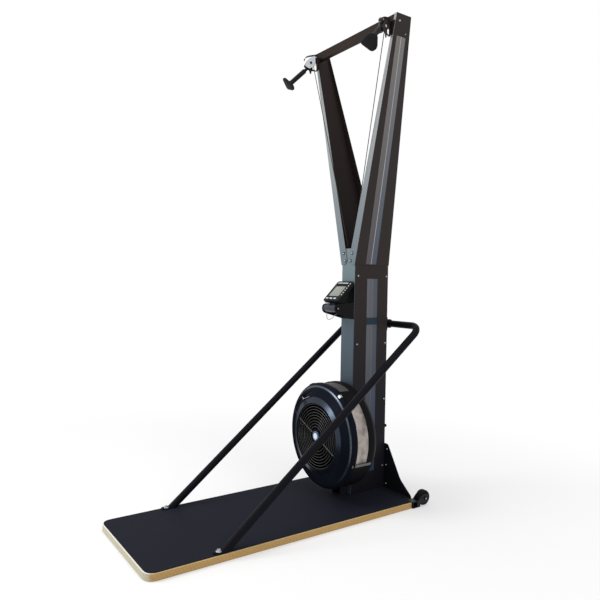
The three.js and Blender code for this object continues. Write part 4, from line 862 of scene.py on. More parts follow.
# %% Monitor lead
LEAD_RADIUS = 0.00125
KNOTS = [(-0.034, 0, -0.0173), (-0.0338, 0, -0.036), (-0.0300, 0, -0.0480), (-0.0170, 0, -0.0528),
         (0.004, 0, -0.0455), (0.0270, 0.003, -0.0275), (0.034, 0.028, -0.0240), (0.034, 0.062, -0.0350),
         (0.034, 0.095 - 0.0036, -0.0495 + 0.006)]
knots = [Vector((x, HINGE_Y + back, HINGE_Z + up)) for x, back, up in KNOTS]


def flowing(points, steps):
    """A smooth line through points."""
    full = [points[0] * 2 - points[1], *points, points[-1] * 2 - points[-2]]
    line = []
    for a, b, c, d in zip(full, full[1:], full[2:], full[3:]):
        bend, twist = 2 * a - 5 * b + 4 * c - d, 3 * b - a - 3 * c + d
        shares = [step / steps for step in range(steps)]
        line += [0.5 * (2 * b + (c - a) * t + bend * t**2 + twist * t**3) for t in shares]
    return line + [points[-1]]


lead_path = flowing(knots, 5)
bm = bmesh.new()
tube(bm, lead_path, LEAD_RADIUS, 12)
lead = closed_piece("monitor_lead_wire", bm, 60, "lead_grey", "monitor_lead")
lead_length = sum((b - a).length for a, b in zip(lead_path, lead_path[1:]))
print("lead", round(lead_length, 4), "m")

# %% [markdown]
# ## Sheet metal, plates and cases
# Most rigid parts already have their shape. Each gets a dressed copy, and the width of its edge follows its
# making: half a millimetre on folded sheet, one or two on mouldings and on the sanded board. New shapes
# would gain nothing here, and a copy stays exactly where its solid is.

# %% Dressed parts
DRESSED = [
    ("satin_black", 0.0007, "rear_crossmember", "back_plate", "roller_bracket", "fan_foot", "brace_clamp"),
    ("deep_black", 0.0007, "monitor_bracket"),
    ("tower_brown", 0.0006, "column_rear", "column_left_side", "column_right_side"),
    ("bar_brown", 0.0006, "top_crossbar"),
    ("front_metal", 0.0007, "column_front"),
    ("arm_paint", 0.0006, "left_arm", "right_arm"),
    ("wheel_eye", 0.0006, "left_wheel_bolt", "right_wheel_bolt"),
    ("block_steel", 0.0005, "left_pulley_bracket", "right_pulley_bracket"),
    ("block_brown", 0.0007, "left_pulley_cover", "right_pulley_cover"),
    ("moulded_black", 0.0014, "monitor_front_case", "monitor_back_case"),
    ("birch_edge", 0.0016, "platform_board"),
    ("mat_rubber", 0.0009, "platform_mat"),
]
for finish, width, *names in DRESSED:
    for name in names:
        print(name, len(dressed(name, finish, width).data.polygons), "faces")

# %% [markdown]
# ## Keys
# The keys are soft caps in two shapes, three wide ones under the window and six round ones beside it. Each
# is a dressed copy too, but its edge is rounder than the case's, so that it reads as something to press.

# %% Keys
KEYS = sorted(n for n in nodes if n.startswith("button_"))
for name in KEYS:
    dressed(name, "key_grey", 0.0012, 3)
print("keys", len(KEYS))

# %% [markdown]
# ## Head pulleys
# A pulley is moulded with a groove for the cord and turns on a riveted pin. Their solids have few sides,
# and smoothing those would swell them. Both are round forms, so the lathe makes them again with enough
# sides, from half a profile each.

# %% Pulleys and pins
PULLEY = [(0.0043, 0.0065), (0.0075, 0.0065), (0.0085, 0.0055), (0.0120, 0.0055), (0.0130, 0.0065),
          (0.0155, 0.0065), (0.0105, 0.00175)]
RIVET = [(0, 0.0143), (0.0022, 0.0143), (0.0030, 0.0137), (0.0060, 0.0135), (0.0060, 0.0119),
         (0.0040, 0.0119)]
for label, side in SIDES.items():
    head = ((side * PULLEY_X, PULLEY_Y, PULLEY_Z), head_turned(side, (1, 0, 0)))
    turned(label + "_pulley_wheel", mirrored(PULLEY), *head, "moulded_black", label + "_pulley", sides=48,
           edge=0.0004)
    turned(label + "_pulley_rivet", mirrored(RIVET, False), *head, "pulley_eye", label + "_pulley_pin",
           sides=32, edge=0.0004)
print("pulleys", widest(PULLEY), "mm across")

# %% [markdown]
# ## Block hoods
# A folded hood of thin sheet covers each head block from above. Its curve is free, so neither a lathe nor a
# box fits it. A few places along the curve, each with its wall's thickness, are skinned into one closed
# piece.

# %% Block hoods
HOOD = [(-0.0305, 0.0120), (-0.0302, 0.0215), (-0.0225, 0.0300), (-0.0080, 0.0358), (0.0080, 0.0396),
        (0.0240, 0.0430), (0.0360, 0.0405), (0.0400, 0.0330)]
HOOD_IN, HOOD_OUT, HOOD_WALL = -0.0084, 0.0132, 0.0014
for label, side in SIDES.items():
    bm = bmesh.new()
    sections = []
    for index, (back, up) in enumerate(HOOD):
        near, far = Vector(HOOD[max(index - 1, 0)]), Vector(HOOD[min(index + 1, len(HOOD) - 1)])
        along = (far - near).normalized()
        outer, inner = (back, up), (back + along.y * HOOD_WALL, up - along.x * HOOD_WALL)
        corners = ((outer, HOOD_IN), (outer, HOOD_OUT), (inner, HOOD_OUT), (inner, HOOD_IN))
        sections.append([block_point(side, *spot, side * aside) for spot, aside in corners])
    stacked(bm, sections)
    closed_piece(label + "_block_hood", bm, 40, "block_brown", body="frame")
print("hoods in", len(HOOD), "sections")

# %% [markdown]
# ## Spools, rollers and wheels
# Inside the column the cords pass small grooved rollers and wind on two flanged spools on the fan's axle.
# They hardly show, so their solids could stay, but the lathe costs little, and a turned metal flange needs
# round edges. Each is one profile at the sizes of the solid that it stands for.

# %% Guide rollers, spools, axle and bearing
ALONG = (0, 1, 0)
for label, side in SIDES.items():
    roller = mirrored([(0.0043, 0.005), (0.0125, 0.005), (0.00995, 0.00175)])
    turned(label + "_roller", roller, (side * 0.0141, GUIDE_Y, GUIDE_Z), ALONG, "moulded_black",
           label + "_guide_roller", sides=48, edge=0.0004)
    spool = mirrored([(0.0088, SPOOL_HALF), (0.038, SPOOL_HALF), (0.038, 0.008), (0.0245, 0.008)])
    turned(label + "_cord_spool", spool, (0, SPOOL_Y[label], FAN_Z), ALONG, "turned_aluminium",
           label + "_spool", sides=72, edge=0.0004)
shaft = [(0, -0.160), (0.0085, -0.160), (0.0085, 0.078), (0, 0.078)]
turned("fan_shaft", shaft, (0, FACE, FAN_Z), ALONG, "zinc", "fan_axle", sides=40, edge=0.001)
race = [(0.0088, -0.016), (0.0175, -0.016), (0.0175, -0.005), (0.0088, -0.005), (0.0088, -0.016)]
turned("fan_race", race, (0, FACE, FAN_Z), ALONG, "zinc", "fan_bearing", sides=48)
print("spools", {label: round(y, 4) for label, y in SPOOL_Y.items()})

# %% [markdown]
# ## Transport wheels
# Two small wheels at the back touch the floor when the machine is tipped. Tyre and hub are one rubber
# moulding with a dished face and a seam round its tread, so one turned profile holds all of it.

# %% Transport wheels
TYRE = [(0.0053, 0), (0.0130, 0), (0.0130, 0.004), (0.0260, 0.004), (0.0290, 0.0012), (0.0320, 0.0002),
        (0.0340, 0.0045), (0.0340, 0.0125), (0.0334, 0.0135), (0.0340, 0.0145), (0.0340, 0.0225),
        (0.0320, 0.0268), (0.0290, 0.0258), (0.0260, 0.023), (0.0130, 0.023), (0.0130, 0.027),
        (0.0053, 0.027), (0.0053, 0)]
for label, start in (("left", -0.2670), ("right", 0.2400)):
    turned(label + "_tyre", TYRE, (start, WHEEL_Y, WHEEL_Z), (1, 0, 0), "tyre", label + "_wheel", edge=0.0006)
print("wheels at", round(WHEEL_Y, 4))

# %% [markdown]
# ## Handles
# A handle is a slim rubber grip with a flared, rounded triangle at its end that the heel of the hand pushes
# on. The grip is turned, with shallow finger rings. The flare isn't round, so it is a stack of one soft
# outline that swells and draws in again, which gives it the crown of a moulded pad.

# %% Handles
PALM = [(-0.94, 0.42, 0.38), (-0.34, -0.94, 0.28), (0.28, -0.89, 0.28), (1.08, 0.18, 0.38),
        (0.46, 0.74, 0.42)]
PALM_HALF, PALM_START = 0.040, 0.129
LAYERS = [(0.0, -0.004, 0.62), (0.0016, 0.0005, 0.86), (0.004, 0.0035, 1.0), (0.0066, 0.0040, 1.0),
          (0.0095, 0.0030, 1.0), (0.0122, 0.0000, 0.97), (0.0138, -0.007, 0.86), (0.0143, -0.016, 0.5)]
grip = [(0, 0), (0.0070, 0), (0.0070, 0.022), (0.0108, 0.0275)]
for ring in range(7):
    start = 0.034 + ring * 0.0115
    grip += [(0.0115, start), (0.0115, start + 0.008), (0.0111, start + 0.009), (0.0111, start + 0.0105)]
grip += [(0.0115, 0.115), (0.0135, 0.122), (0.0175, 0.130), (0.0180, 0.1325), (0, 0.1325)]
for label, (side, drop, under) in PULLS.items():
    along = pull_direction(side, drop)
    tip = block_point(side, *handle_start(drop, under))
    right = (Vector((1, 0, 0)) - along * along.x).normalized()
    over = right.cross(along)
    bm = bmesh.new()
    lathe(bm, rounded(grip, 0.0012), tip, along, 40)
    flare = soft_outline([(a * PALM_HALF, side * u * PALM_HALF, r * PALM_HALF) for a, u, r in PALM])
    centre = sum(flare, Vector((0, 0))) / len(flare)
    sections = []
    for depth, spread, inset in LAYERS:
        spread *= 1 if inset > 0.9 else 0.4
        outs = [centre + (p - centre) * inset + (p - centre).normalized() * spread for p in flare]
        sections.append([tip + right * out.x - over * out.y + along * (PALM_START + depth) for out in outs])
    stacked(bm, sections)
    closed_piece(label + "_grip", bm, 50, "handle_rubber", label + "_handle")
    print(label, "handle from", [round(v, 3) for v in tip])

# %% [markdown]
# ## Cover finish
# The cover is glossy black plastic with a blue cast, and it shines on its sloping ring and on the crest of
# its shoulder. The crest's shine is a painted highlight, kept to the upper right where the light falls, and
# that side of the shell gets a painted sheen of a little metal. The ring's far left keeps the shell's dark
# colour as painted shade. Those rings could be separate parts, but they are one moulding, so bands of
# distance from the fan's axle brighten it.

# %% Cover finish
SEAM_TURN = math.radians(156)


def from_axle(bench, x, z):
    return bench.distance(x, z - FAN_Z)


made = Finish("fan_gloss", "fan_gloss", Specular_IOR_Level=0.0)
bench = made.bench
where, x, y, z = bench.place()
radius = from_axle(bench, x, z)
# Painted highlight and sheen, kept to the upper right where the light falls.
lit = (x + z).above(FAN_Z + 0.02, 0.10)
crest = radius.between(0.2188, 0.2262, 0.0016) * lit
# The ring stops on the far left, where the shell's dark colour is painted shade.
ring = radius.between(0.1500, 0.1755, 0.0008) * x.above(-0.135, 0.05) + crest
drift = bench.noise(where, 7, 3)
shell = bench.blend(drift, (0.0050, 0.0060, 0.0105), (0.0090, 0.0110, 0.0175))
seam = z * math.cos(SEAM_TURN) - x * math.sin(SEAM_TURN) - FAN_Z * math.cos(SEAM_TURN)
seam = (1 - seam.through("ABSOLUTE").above(0.0009, 0.0003)) * (1 - x.above(0.0, 0.001))
shell = bench.blend(0.5 * seam, shell, (0.16, 0.17, 0.19))
# Painted highlight: the crest's bright colour.
ring_and_highlight = bench.blend(crest, (0.032, 0.041, 0.056), (0.085, 0.100, 0.120))
made.feed(Base_Color=bench.blend(ring, shell, ring_and_highlight), Metallic=0.9 * ring + 0.3 * lit * (1 - ring),
          Roughness=0.30 + 0.08 * drift - 0.10 * ring + 0.45 * (1 - x.above(-0.20, 0.05)))
made.bump(bench.noise(where, 1200, 2), 0.00001)
print("seam at", round(math.degrees(SEAM_TURN)), "degrees")

# %% [markdown]
# ## Hub cap and band finishes
# The cap in the middle of the grille is pale and cloudy with a blue rim. The band is dusty steel, darker
# where it turns up, and its inner side is painted nearly black as shade. One grey would show its far inner
# side as bright as its near outer one, so the direction that the surface faces tells them apart.

# %% Hub cap and band finishes
made = Finish("badge", "hub_badge", Specular_IOR_Level=0.5)
bench = made.bench
where, x, y, z = bench.place()
cloud = bench.noise(where, 240, 3)
pale = bench.blend(cloud, (0.62, 0.74, 0.90), (0.84, 0.91, 0.98))
rimmed = bench.blend(from_axle(bench, x, z).above(0.0145, 0.0016), pale, (0.035, 0.085, 0.17))
made.feed(Base_Color=rimmed, Roughness=0.28 + 0.12 * cloud).bump(cloud, 0.00003)

made = Finish("mesh_steel", "mesh_steel", Metallic=0.25, Specular_IOR_Level=0.15)
bench = made.bench
where, x, y, z = bench.place()
dust = bench.noise(where, 18, 4)
faces_x, _, faces_z = bench.facing()
outwards = (x * faces_x + (z - FAN_Z) * faces_z).above(0.10, 0.05)
steel = bench.ramp(dust, (0.32, (0.19, 0.165, 0.155)), (0.62, (0.46, 0.415, 0.385)))
steel = bench.blend(z.above(FAN_Z + 0.175, 0.03), steel, (0.085, 0.083, 0.080))
# Painted shade: the band's inner side is nearly black.
made.feed(Base_Color=bench.blend(outwards, (0.004, 0.004, 0.004), steel), Roughness=0.5 + 0.2 * dust)
made.bump(bench.noise(where, 900, 2), 0.00003)
print("finishes", len(FINISHES))

# %% [markdown]
# ## Front cover
# The front cover is one moulding: a lip round the grille, a bright sloping ring, a broad shoulder with a
# slot for the damper lever, and a rim with eight clips. The lathe makes it as two skins in one profile. A
# cut with another solid would tear the fine faces, so the slot is opened by leaving faces out and joining
# the skins.

# %% Places round the fan
COVER_SIDES = 120
SHELL, WALL = 0.238, 0.0025
SLOPE_IN, SLOPE_OUT = (0.175, -0.167), (0.222, -0.151)
SHOULDER_RISE = (SLOPE_OUT[1] - SLOPE_IN[1]) / (SLOPE_OUT[0] - SLOPE_IN[0])


def fan_place(radius, degrees, along):
    """A place about the fan's axis, along from the column's face."""
    angle = math.radians(degrees)
    return Vector((radius * math.cos(angle), FACE + along, FAN_Z + radius * math.sin(angle)))


def fan_sector(bm, profile, start, end, steps):
    """Adds a closed profile of (radius, along) swept between two angles, with its ends closed."""
    turns = [start + (end - start) * step / steps for step in range(steps + 1)]
    stacked(bm, [[fan_place(radius, turn, along) for radius, along in profile] for turn in turns])


def shoulder(radius, inwards=0.0):
    """The shoulder's face at a radius, on its outer skin or further in."""
    return radius, SLOPE_IN[1] + SHOULDER_RISE * (radius - SLOPE_IN[0]) + inwards


print("shoulder slopes", round(math.degrees(math.atan(SHOULDER_RISE)), 1), "degrees")

# %% Front cover
SLOT_IN, SLOT_OUT = 0.194, 0.204
SLOT_START, SLOT_END = 106, 147
lip = rounded([(0.147, -0.167), (0.147, -0.175), (0.1495, -0.175), SLOPE_IN, shoulder(SLOT_IN)], 0.0012)
rim = rounded([shoulder(SLOT_OUT), SLOPE_OUT, (0.2325, -0.1435), (SHELL, -0.136), (SHELL, -0.123),
               (0.2355, -0.123), (0.2355, -0.13475), (0.230, -0.141), (0.22075, -0.1485),
               shoulder(SLOT_OUT, WALL)], 0.0048, 4)
back = rounded([shoulder(SLOT_OUT, WALL), shoulder(SLOT_IN, WALL), (0.17375, -0.1645), (0.1495, -0.1725),
                (0.1495, -0.167), (0.147, -0.167)], 0.0006)
skins = lip + rim + back
skins = skins[:1] + [p for a, p in zip(skins, skins[1:]) if (Vector(a) - Vector(p)).length > 1e-7]
bm = bmesh.new()
lathe(bm, skins, (0, FACE, FAN_Z), ALONG, COVER_SIDES)
bmesh.ops.remove_doubles(bm, verts=bm.verts, dist=1e-7)


def in_slot(face):
    """Whether a face lies over the damper's slot."""
    middle = face.calc_center_median()
    radius = math.hypot(middle.x, middle.z - FAN_Z)
    turn = math.degrees(math.atan2(middle.z - FAN_Z, middle.x)) % 360
    on_ring = SLOT_IN + 0.0005 < radius < SLOT_OUT - 0.0005
    return on_ring and SLOT_START < turn < SLOT_END and middle.y < FACE - 0.14


holes = [f for f in bm.faces if in_slot(f)]
bmesh.ops.delete(bm, geom=holes, context="FACES")
edges = [e for e in bm.edges if e.is_boundary]
bmesh.ops.bridge_loops(bm, edges=edges)
CLIP = [(0.2370, -0.1365), (0.2405, -0.1350), (0.2410, -0.1250), (0.2395, -0.1230), (0.2370, -0.1230)]
CLIP_HALF = math.degrees(0.013 / SHELL)
for count in range(8):
    turn = 22.5 + 45 * count
    fan_sector(bm, CLIP, turn - CLIP_HALF, turn + CLIP_HALF, 6)
closed_piece("fan_cover_moulding", bm, 32, "fan_gloss", "fan_front_cover")
print("cover slot faces", len(holes), "open edges", len(edges))

# %% [markdown]
# ## Rear housing
# Behind the band a second moulding closes the fan against the column and carries its bearing. Its wall
# comes forward at the bottom and at the upper right, where the fan is closed. The lathe gives the round
# part, and swept sectors give the walls, a strap across the band and a latch on the rim. The latch is
# bright zinc, as a painted glint on the rim.

# %% Rear housing, strap and latch
BOWL = 0.233
BOWL_IN = BOWL - 0.0015 - WALL
GAP = 0.0003
CLOSED = ((202, 338, 46), (47, 64, 6))
near, far = GAP - 0.123, GAP - 0.060
housing = [(0.0178, -0.0138), (0.026, -0.0138), (0.026, -0.0028), (BOWL_IN - 0.034, -0.0028),
           (BOWL_IN, -0.0328), (BOWL_IN, far), (SHELL, far), (SHELL, -0.0303), (SHELL - 0.034 / 3, -0.0103),
           (0.204, -GAP), (0.010, -GAP), (0.010, -0.0028), (0.0178, -0.0028), (0.0178, -0.0138)]
bm = bmesh.new()
lathe(bm, rounded(housing, 0.002), (0, FACE, FAN_Z), ALONG, COVER_SIDES)
wall = [(BOWL + GAP, near), (SHELL, near), (SHELL, far + 0.002), (BOWL + GAP, far + 0.002)]
for sweep in CLOSED:
    fan_sector(bm, wall, *sweep)
closed_piece("fan_housing_moulding", bm, 32, "housing_black", "fan_rear_housing")
STRAP = [(0.2383, -0.1395), (0.2403, -0.1395), (0.2403, -0.0370), (0.2383, -0.0370)]
LATCH = [(0.2325, -0.1462), (0.2400, -0.1390), (0.2408, -0.1300), (0.2378, -0.1290), (0.2310, -0.1430)]
# The latch's bright zinc is a painted glint on the rim.
for name, finish, profile, sweep in (("band_strap", "spoke_grey", STRAP, (-22.8, -19.8, 3)),
                                     ("rim_latch", "zinc", LATCH, (55.2, 58.8, 4))):
    bm = bmesh.new()
    fan_sector(bm, profile, *sweep)
    closed_piece(name, bm, 32, finish, body="frame")
print("housing from", round(far, 4), "to", -GAP)

# %% [markdown]
# ## Geometry Nodes for what repeats
# Screws, the grille's rings and the band's holes all repeat by a rule. Copies could be placed one by one,
# but a tree states the rule once, with its sizes as named inputs. Each tree is built in the script, run
# once, and turned into a plain mesh that rides on its body.

# %% Run a geometry tree
KINDS = {float: "NodeSocketFloat", int: "NodeSocketInt", bpy.types.Material: "NodeSocketMaterial"}


def grown(name, mesh, build, finish, **sizes):
    """Runs a geometry tree over a mesh. Its inputs are the named sizes and the finish."""
    sizes["Finish"] = FINISHES[finish].material
    tree = bpy.data.node_groups.new(name, "GeometryNodeTree")
    tree.interface.new_socket("Geometry", in_out="INPUT", socket_type="NodeSocketGeometry")
    keys = {n: tree.interface.new_socket(n, in_out="INPUT", socket_type=KINDS[type(value)]).identifier
            for n, value in sizes.items()}
    tree.interface.new_socket("Geometry", in_out="OUTPUT", socket_type="NodeSocketGeometry")
    bench = Bench(tree)
    entry = tree.nodes.new("NodeGroupInput")
    wires = {socket.name: Wire(bench, socket) for socket in entry.outputs if socket.name}
    real = bench.node("GeometryNodeRealizeInstances", None, {0: build(bench, wires)})
    finished = bench.node("GeometryNodeSetMaterial", None, {"Geometry": real, "Material": wires["Finish"]})
    tree.links.new(finished.socket, tree.nodes.new("NodeGroupOutput").inputs[0])
    piece = add_object(name, mesh)
    growth = piece.modifiers.new("growth", "NODES")
    growth.node_group = tree
    for n, value in sizes.items():
        growth[keys[n]] = value
    flattened(piece)
    return piece


print("geometry trees ready")

# %% [markdown]
# ## Screws, bolts and nuts
# Screws hold the side sheets, the arms, the brace's feet and the plate at the back. Each is a chamfered
# disc with a socket pressed into it, or a nut where it has six sides. The tree makes one head and puts a
# copy on every point of a bare mesh, turned to the way that the point's fastener faces.

# %% Heads on points
def sited(name, places):
    """A mesh of bare points, each with the direction that its fastener faces."""
    mesh = bpy.data.meshes.new(name)
    mesh.from_pydata([tuple(p) for p, _ in places], [], [])
    aims = mesh.attributes.new("aim", "FLOAT_VECTOR", "POINT")
    for slot, (_, aim) in zip(aims.data, places):
        slot.vector = Vector(aim).normalized()
    return mesh


def heads(bench, wires):
    """A screw head: a chamfered disc with a socket pressed into it, on every point."""
    disc = bench.node("GeometryNodeMeshCylinder", None,
                      {"Vertices": wires["Sides"], "Radius": wires["Radius"], "Depth": wires["Height"]})
    top = bench.more(disc, "Top")
    domed = bench.node("GeometryNodeScaleElements", None,
                       {"Geometry": disc, "Selection": top, "Scale": wires["Crown"]})
    lipped = bench.node("GeometryNodeExtrudeMesh", None,
                        {"Mesh": domed, "Selection": top, "Offset Scale": 0.0})
    lip = bench.more(lipped, "Top")
    narrow = bench.node("GeometryNodeScaleElements", None,
                        {"Geometry": lipped, "Selection": lip, "Scale": 0.5})
    pressed = bench.node("GeometryNodeExtrudeMesh", None,
                         {"Mesh": narrow, "Selection": lip, "Offset Scale": wires["Height"] * -0.55})
    seat = bench.node("ShaderNodeCombineXYZ", None, {2: wires["Height"] * 0.5})
    lifted = bench.node("GeometryNodeTransform", None, {"Geometry": pressed, "Translation": seat})
    aim = bench.node("GeometryNodeInputNamedAttribute", {"data_type": "FLOAT_VECTOR"}, {"Name": "aim"})
    facing = bench.node("FunctionNodeAlignRotationToVector", {"axis": "Z"}, {"Vector": aim})
    return bench.node("GeometryNodeInstanceOnPoints", None,
                      {"Points": wires["Geometry"], "Instance": lifted, "Rotation": facing})


def fasteners(name, places, finish, radius, height, sides, crown):
    piece = grown(name, sited(name, places), heads, finish,
                  Radius=radius, Height=height, Sides=sides, Crown=crown)
    soften(piece.data, 30)
    settle(piece, finish, body="frame")
    print(name, len(places), "of", round(radius * 2000, 1), "mm")


print("heads ready")

# %% [markdown]
# ## Where the fasteners sit
# Fasteners come in pairs, left and right, on the faces that they hold. Their places are written for one
# side and mirrored, because a list of every screw would hide a slip. Each sits on the real face behind it.

# %% Where the fasteners sit
UP, OUT, BACK = (0, 0, 1), (0, -1, 0), (0, 1, 0)
PLATE_BACK = COLUMN_BACK + 0.0033
lean = Vector((1, 0, -SLOPE)).normalized()


def both_sides(x, y, z, aim):
    """A place and its mirror image, each with the direction that its fastener faces."""
    return [(Vector((side * x, y, z)), (side * aim[0], *aim[1:])) for side in (-1, 1)]


def moved(places, y=0.0, z=0.0):
    return [(p + Vector((0, y, z)), aim) for p, aim in places]


side_places = [place for z in (1.046, 0.729, 0.460, 0.137)
               for y in (FACE + SHEET + 0.018, COLUMN_BACK - SHEET - 0.011)
               for place in both_sides(COLUMN_HALF, y, z, (1, 0, 0))]
arm_places = both_sides(0.0305, ARM_FACE, 1.150, OUT) + both_sides(0.0195, ARM_FACE, 1.115, OUT)
foot_places = both_sides(BAR_HALF, FRONT + 0.276, 0.0366, UP)
plate_places = [place for x, z in ((0.0617, 0.217), (0.058, 0.140), (0.0582, 0.050), (0.190, 0.034))
                for place in both_sides(x, PLATE_BACK, z, BACK)]
inner_places = [(Vector((p.x, COLUMN_BACK + 0.0003, p.z)), OUT) for p, _ in plate_places if abs(p.x) < 0.1]
clamp_places = [place for up in (-0.0255, 0.0255)
                for place in both_sides(0.034, COLUMN_BACK + 0.0043, BAR_Z + up, BACK)]
print("places", len(side_places + arm_places + foot_places + plate_places + clamp_places))

# %% Screws and bolts
fasteners("column_screws", side_places, "zinc", 0.0042, 0.0026, 16, 0.72)
fasteners("arm_washers", arm_places, "moulded_black", 0.0072, 0.0016, 20, 0.95)
fasteners("arm_bolts", moved(arm_places, y=-0.0006), "zinc", 0.0044, 0.0034, 16, 0.75)
for name, y, z, radius in (("arm_head_screws", FRONT + 1.0755, 2.122, 0.0044),
                           ("arm_small_screws", FRONT + 1.1191, 2.078, 0.0030)):
    fasteners(name, both_sides(arm_outer(z), y, z, lean), "zinc", radius, 0.0024, 16, 0.72)
fasteners("brace_washers", foot_places, "zinc", 0.0110, 0.0016, 24, 0.94)
fasteners("brace_bolts", moved(foot_places, z=0.0012), "zinc", 0.0080, 0.0056, 6, 0.9)
fasteners("back_plate_nuts", plate_places, "zinc", 0.0060, 0.0034, 6, 0.88)
fasteners("back_plate_screws", inner_places, "zinc", 0.0036, 0.0022, 16, 0.75)
knob_place = [(Vector((0.040, COLUMN_BACK, 0.327)), BACK)]
fasteners("rear_knob", knob_place, "moulded_black", 0.0085, 0.0090, 20, 0.85)
fasteners("clamp_bolts", clamp_places, "zinc", 0.0042, 0.0030, 6, 0.88)

# %% [markdown]
# ## Grille
# The guard in front of the wheel is nine rings of wire on four spokes. Nine separate circles would do, but
# their sizes follow one rule, so the tree draws a circle per ring at a growing size and gives the lines a
# round section. Two of the spokes are painted bright as a highlight, and the other two keep the rings'
# dark finish.

# %% Grille rings
GRILLE_Y = -0.175 + 0.005 + 0.0015
RINGS, HUB, REACH, BAR = 9, 0.032, 0.1467, 0.0034
PITCH = (REACH - HUB) / RINGS


def grille_rings(bench, wires):
    order = bench.node("GeometryNodeInputIndex")
    size = wires["Hub"] + wires["Pitch"] * (order + 1) - wires["Bar"] * 0.5
    seeds = bench.node("GeometryNodePoints", None, {"Count": wires["Rings"]})
    circle = bench.node("GeometryNodeCurvePrimitiveCircle", None, {"Resolution": 96, "Radius": 1.0})
    spread = bench.node("ShaderNodeCombineXYZ", None, {0: size, 1: size, 2: 1.0})
    drawn = bench.node("GeometryNodeInstanceOnPoints", None,
                       {"Points": seeds, "Instance": circle, "Scale": spread})
    real = bench.node("GeometryNodeRealizeInstances", None, {0: drawn})
    section = bench.node("GeometryNodeCurvePrimitiveCircle", None,
                         {"Resolution": 8, "Radius": wires["Bar"] * 0.5})
    wire = bench.node("GeometryNodeCurveToMesh", None,
                      {"Curve": real, "Profile Curve": section, "Fill Caps": True})
    return bench.node("GeometryNodeTransform", None,
                      {"Geometry": wire, "Translation": (0.0, FACE + GRILLE_Y, FAN_Z),
                       "Rotation": (math.pi / 2, 0.0, 0.0)})


piece = grown("grille_rings", bpy.data.meshes.new("grille_rings"), grille_rings, "ring_wire",
              Rings=RINGS, Hub=HUB, Pitch=PITCH, Bar=BAR)
soften(piece.data, 60)
settle(piece, "ring_wire", "fan_grille")
print("rings", RINGS, "every", round(1000 * PITCH, 2), "mm")

# %% [markdown]
# ## Grille hub, spokes and cap
# The rings hang on a flat hub and four spokes, and a shallow cap closes the middle. The hub and the cap are
# turned. A spoke is a straight tube, written as a path so that it starts inside the hub and ends in the
# lip.

# %% Grille hub, spokes and cap
hub = mirrored([(0.0088, 0.0015), (HUB, 0.0015)])
turned("grille_hub", hub, (0, FACE + GRILLE_Y, FAN_Z), ALONG, "fan_gloss", body="frame")
# Painted highlight: two spokes bright grey, the other two dark like the rings.
for turn, finish in ((157, "spoke_grey"), (-25, "spoke_grey"), (66, "ring_wire"), (-114, "ring_wire")):
    spoke = [fan_place(0.031 + (REACH - 0.0327) * step / 6, turn, GRILLE_Y) for step in range(7)]
    bm = bmesh.new()
    tube(bm, spoke, BAR * 0.36, 10)
    closed_piece(f"grille_spoke_{turn % 360}", bm, 50, finish, body="frame")
cap = [(0, 0), (0.023, 0), (0.023, -0.0018), (0.0205, -0.0030), (0.0165, -0.0032), (0.0160, -0.0036),
       (0.008, -0.0040), (0, -0.0040)]
turned("hub_badge", cap, (0, FACE - 0.1703, FAN_Z), ALONG, "badge", "fan_hub_cap", edge=0.0005)
print("cap", widest(cap), "mm across")

# %% [markdown]
# ## Perforated band
# Air leaves through a steel band with thousands of small holes. Cutting that many would be slow. Here every
# cell of a flat grid is drawn in and opened, and the sheet is then bent round the fan. The bend is a rule
# on each point: its run along the sheet becomes an angle.

# %% Perforated band
BAND_RADIUS, BAND_WIDTH, HOLE_PITCH = 0.23225, 0.0627, 0.0046


def perforated(bench, wires):
    sheet = bench.node("GeometryNodeMeshGrid", None,
                       {"Size X": wires["Run"], "Size Y": wires["Width"],
                        "Vertices X": wires["Across"], "Vertices Y": wires["Rows"]})
    along, across, _ = bench.parts(bench.node("GeometryNodeInputPosition"))
    faces = bench.node("GeometryNodeExtrudeMesh", {"mode": "FACES"},
                       {"Mesh": sheet, "Offset Scale": 0.0, "Individual": True})
    top = bench.more(faces, "Top")
    drawn = bench.node("GeometryNodeScaleElements", None,
                       {"Geometry": faces, "Selection": top, "Scale": wires["Open"]})
    opened = bench.node("GeometryNodeDeleteGeometry", {"domain": "FACE"},
                        {"Geometry": drawn, "Selection": top})
    turn = along / wires["Radius"]
    x = wires["Radius"] * turn.through("COSINE")
    z = wires["Radius"] * turn.through("SINE") + FAN_Z
    round_fan = bench.node("ShaderNodeCombineXYZ", None, {0: x, 1: across + wires["Middle"], 2: z})
    bent = bench.node("GeometryNodeSetPosition", None, {"Geometry": opened, "Position": round_fan})
    return bench.node("GeometryNodeMergeByDistance", None, {"Geometry": bent, "Distance": 0.00002})


run = 2 * math.pi * BAND_RADIUS
piece = grown("mesh_band", bpy.data.meshes.new("mesh_band"), perforated, "mesh_steel",
              Run=run, Width=BAND_WIDTH, Radius=BAND_RADIUS, Across=round(run / HOLE_PITCH) + 1,
              Rows=round(BAND_WIDTH / HOLE_PITCH) + 1, Open=0.24, Middle=FACE - (0.1227 + 0.060) / 2)
thick = piece.modifiers.new("thick", "SOLIDIFY")
thick.thickness = 0.0014
thick.offset = 0
flattened(piece)
settle(piece, "mesh_steel", "fan_mesh_band")
print("band", len(piece.data.polygons), "faces")

# %% [markdown]
# ## Fan wheel and damper
# The wheel keeps its solid, with a small edge on its blades. The damper is a sloped ring that slides behind
# the shoulder, and its lever stands out of the slot. A thin wire on the lever is a tube on a short curved
# path. It starts inside the lever, so that it can't touch the cover when the ring turns.

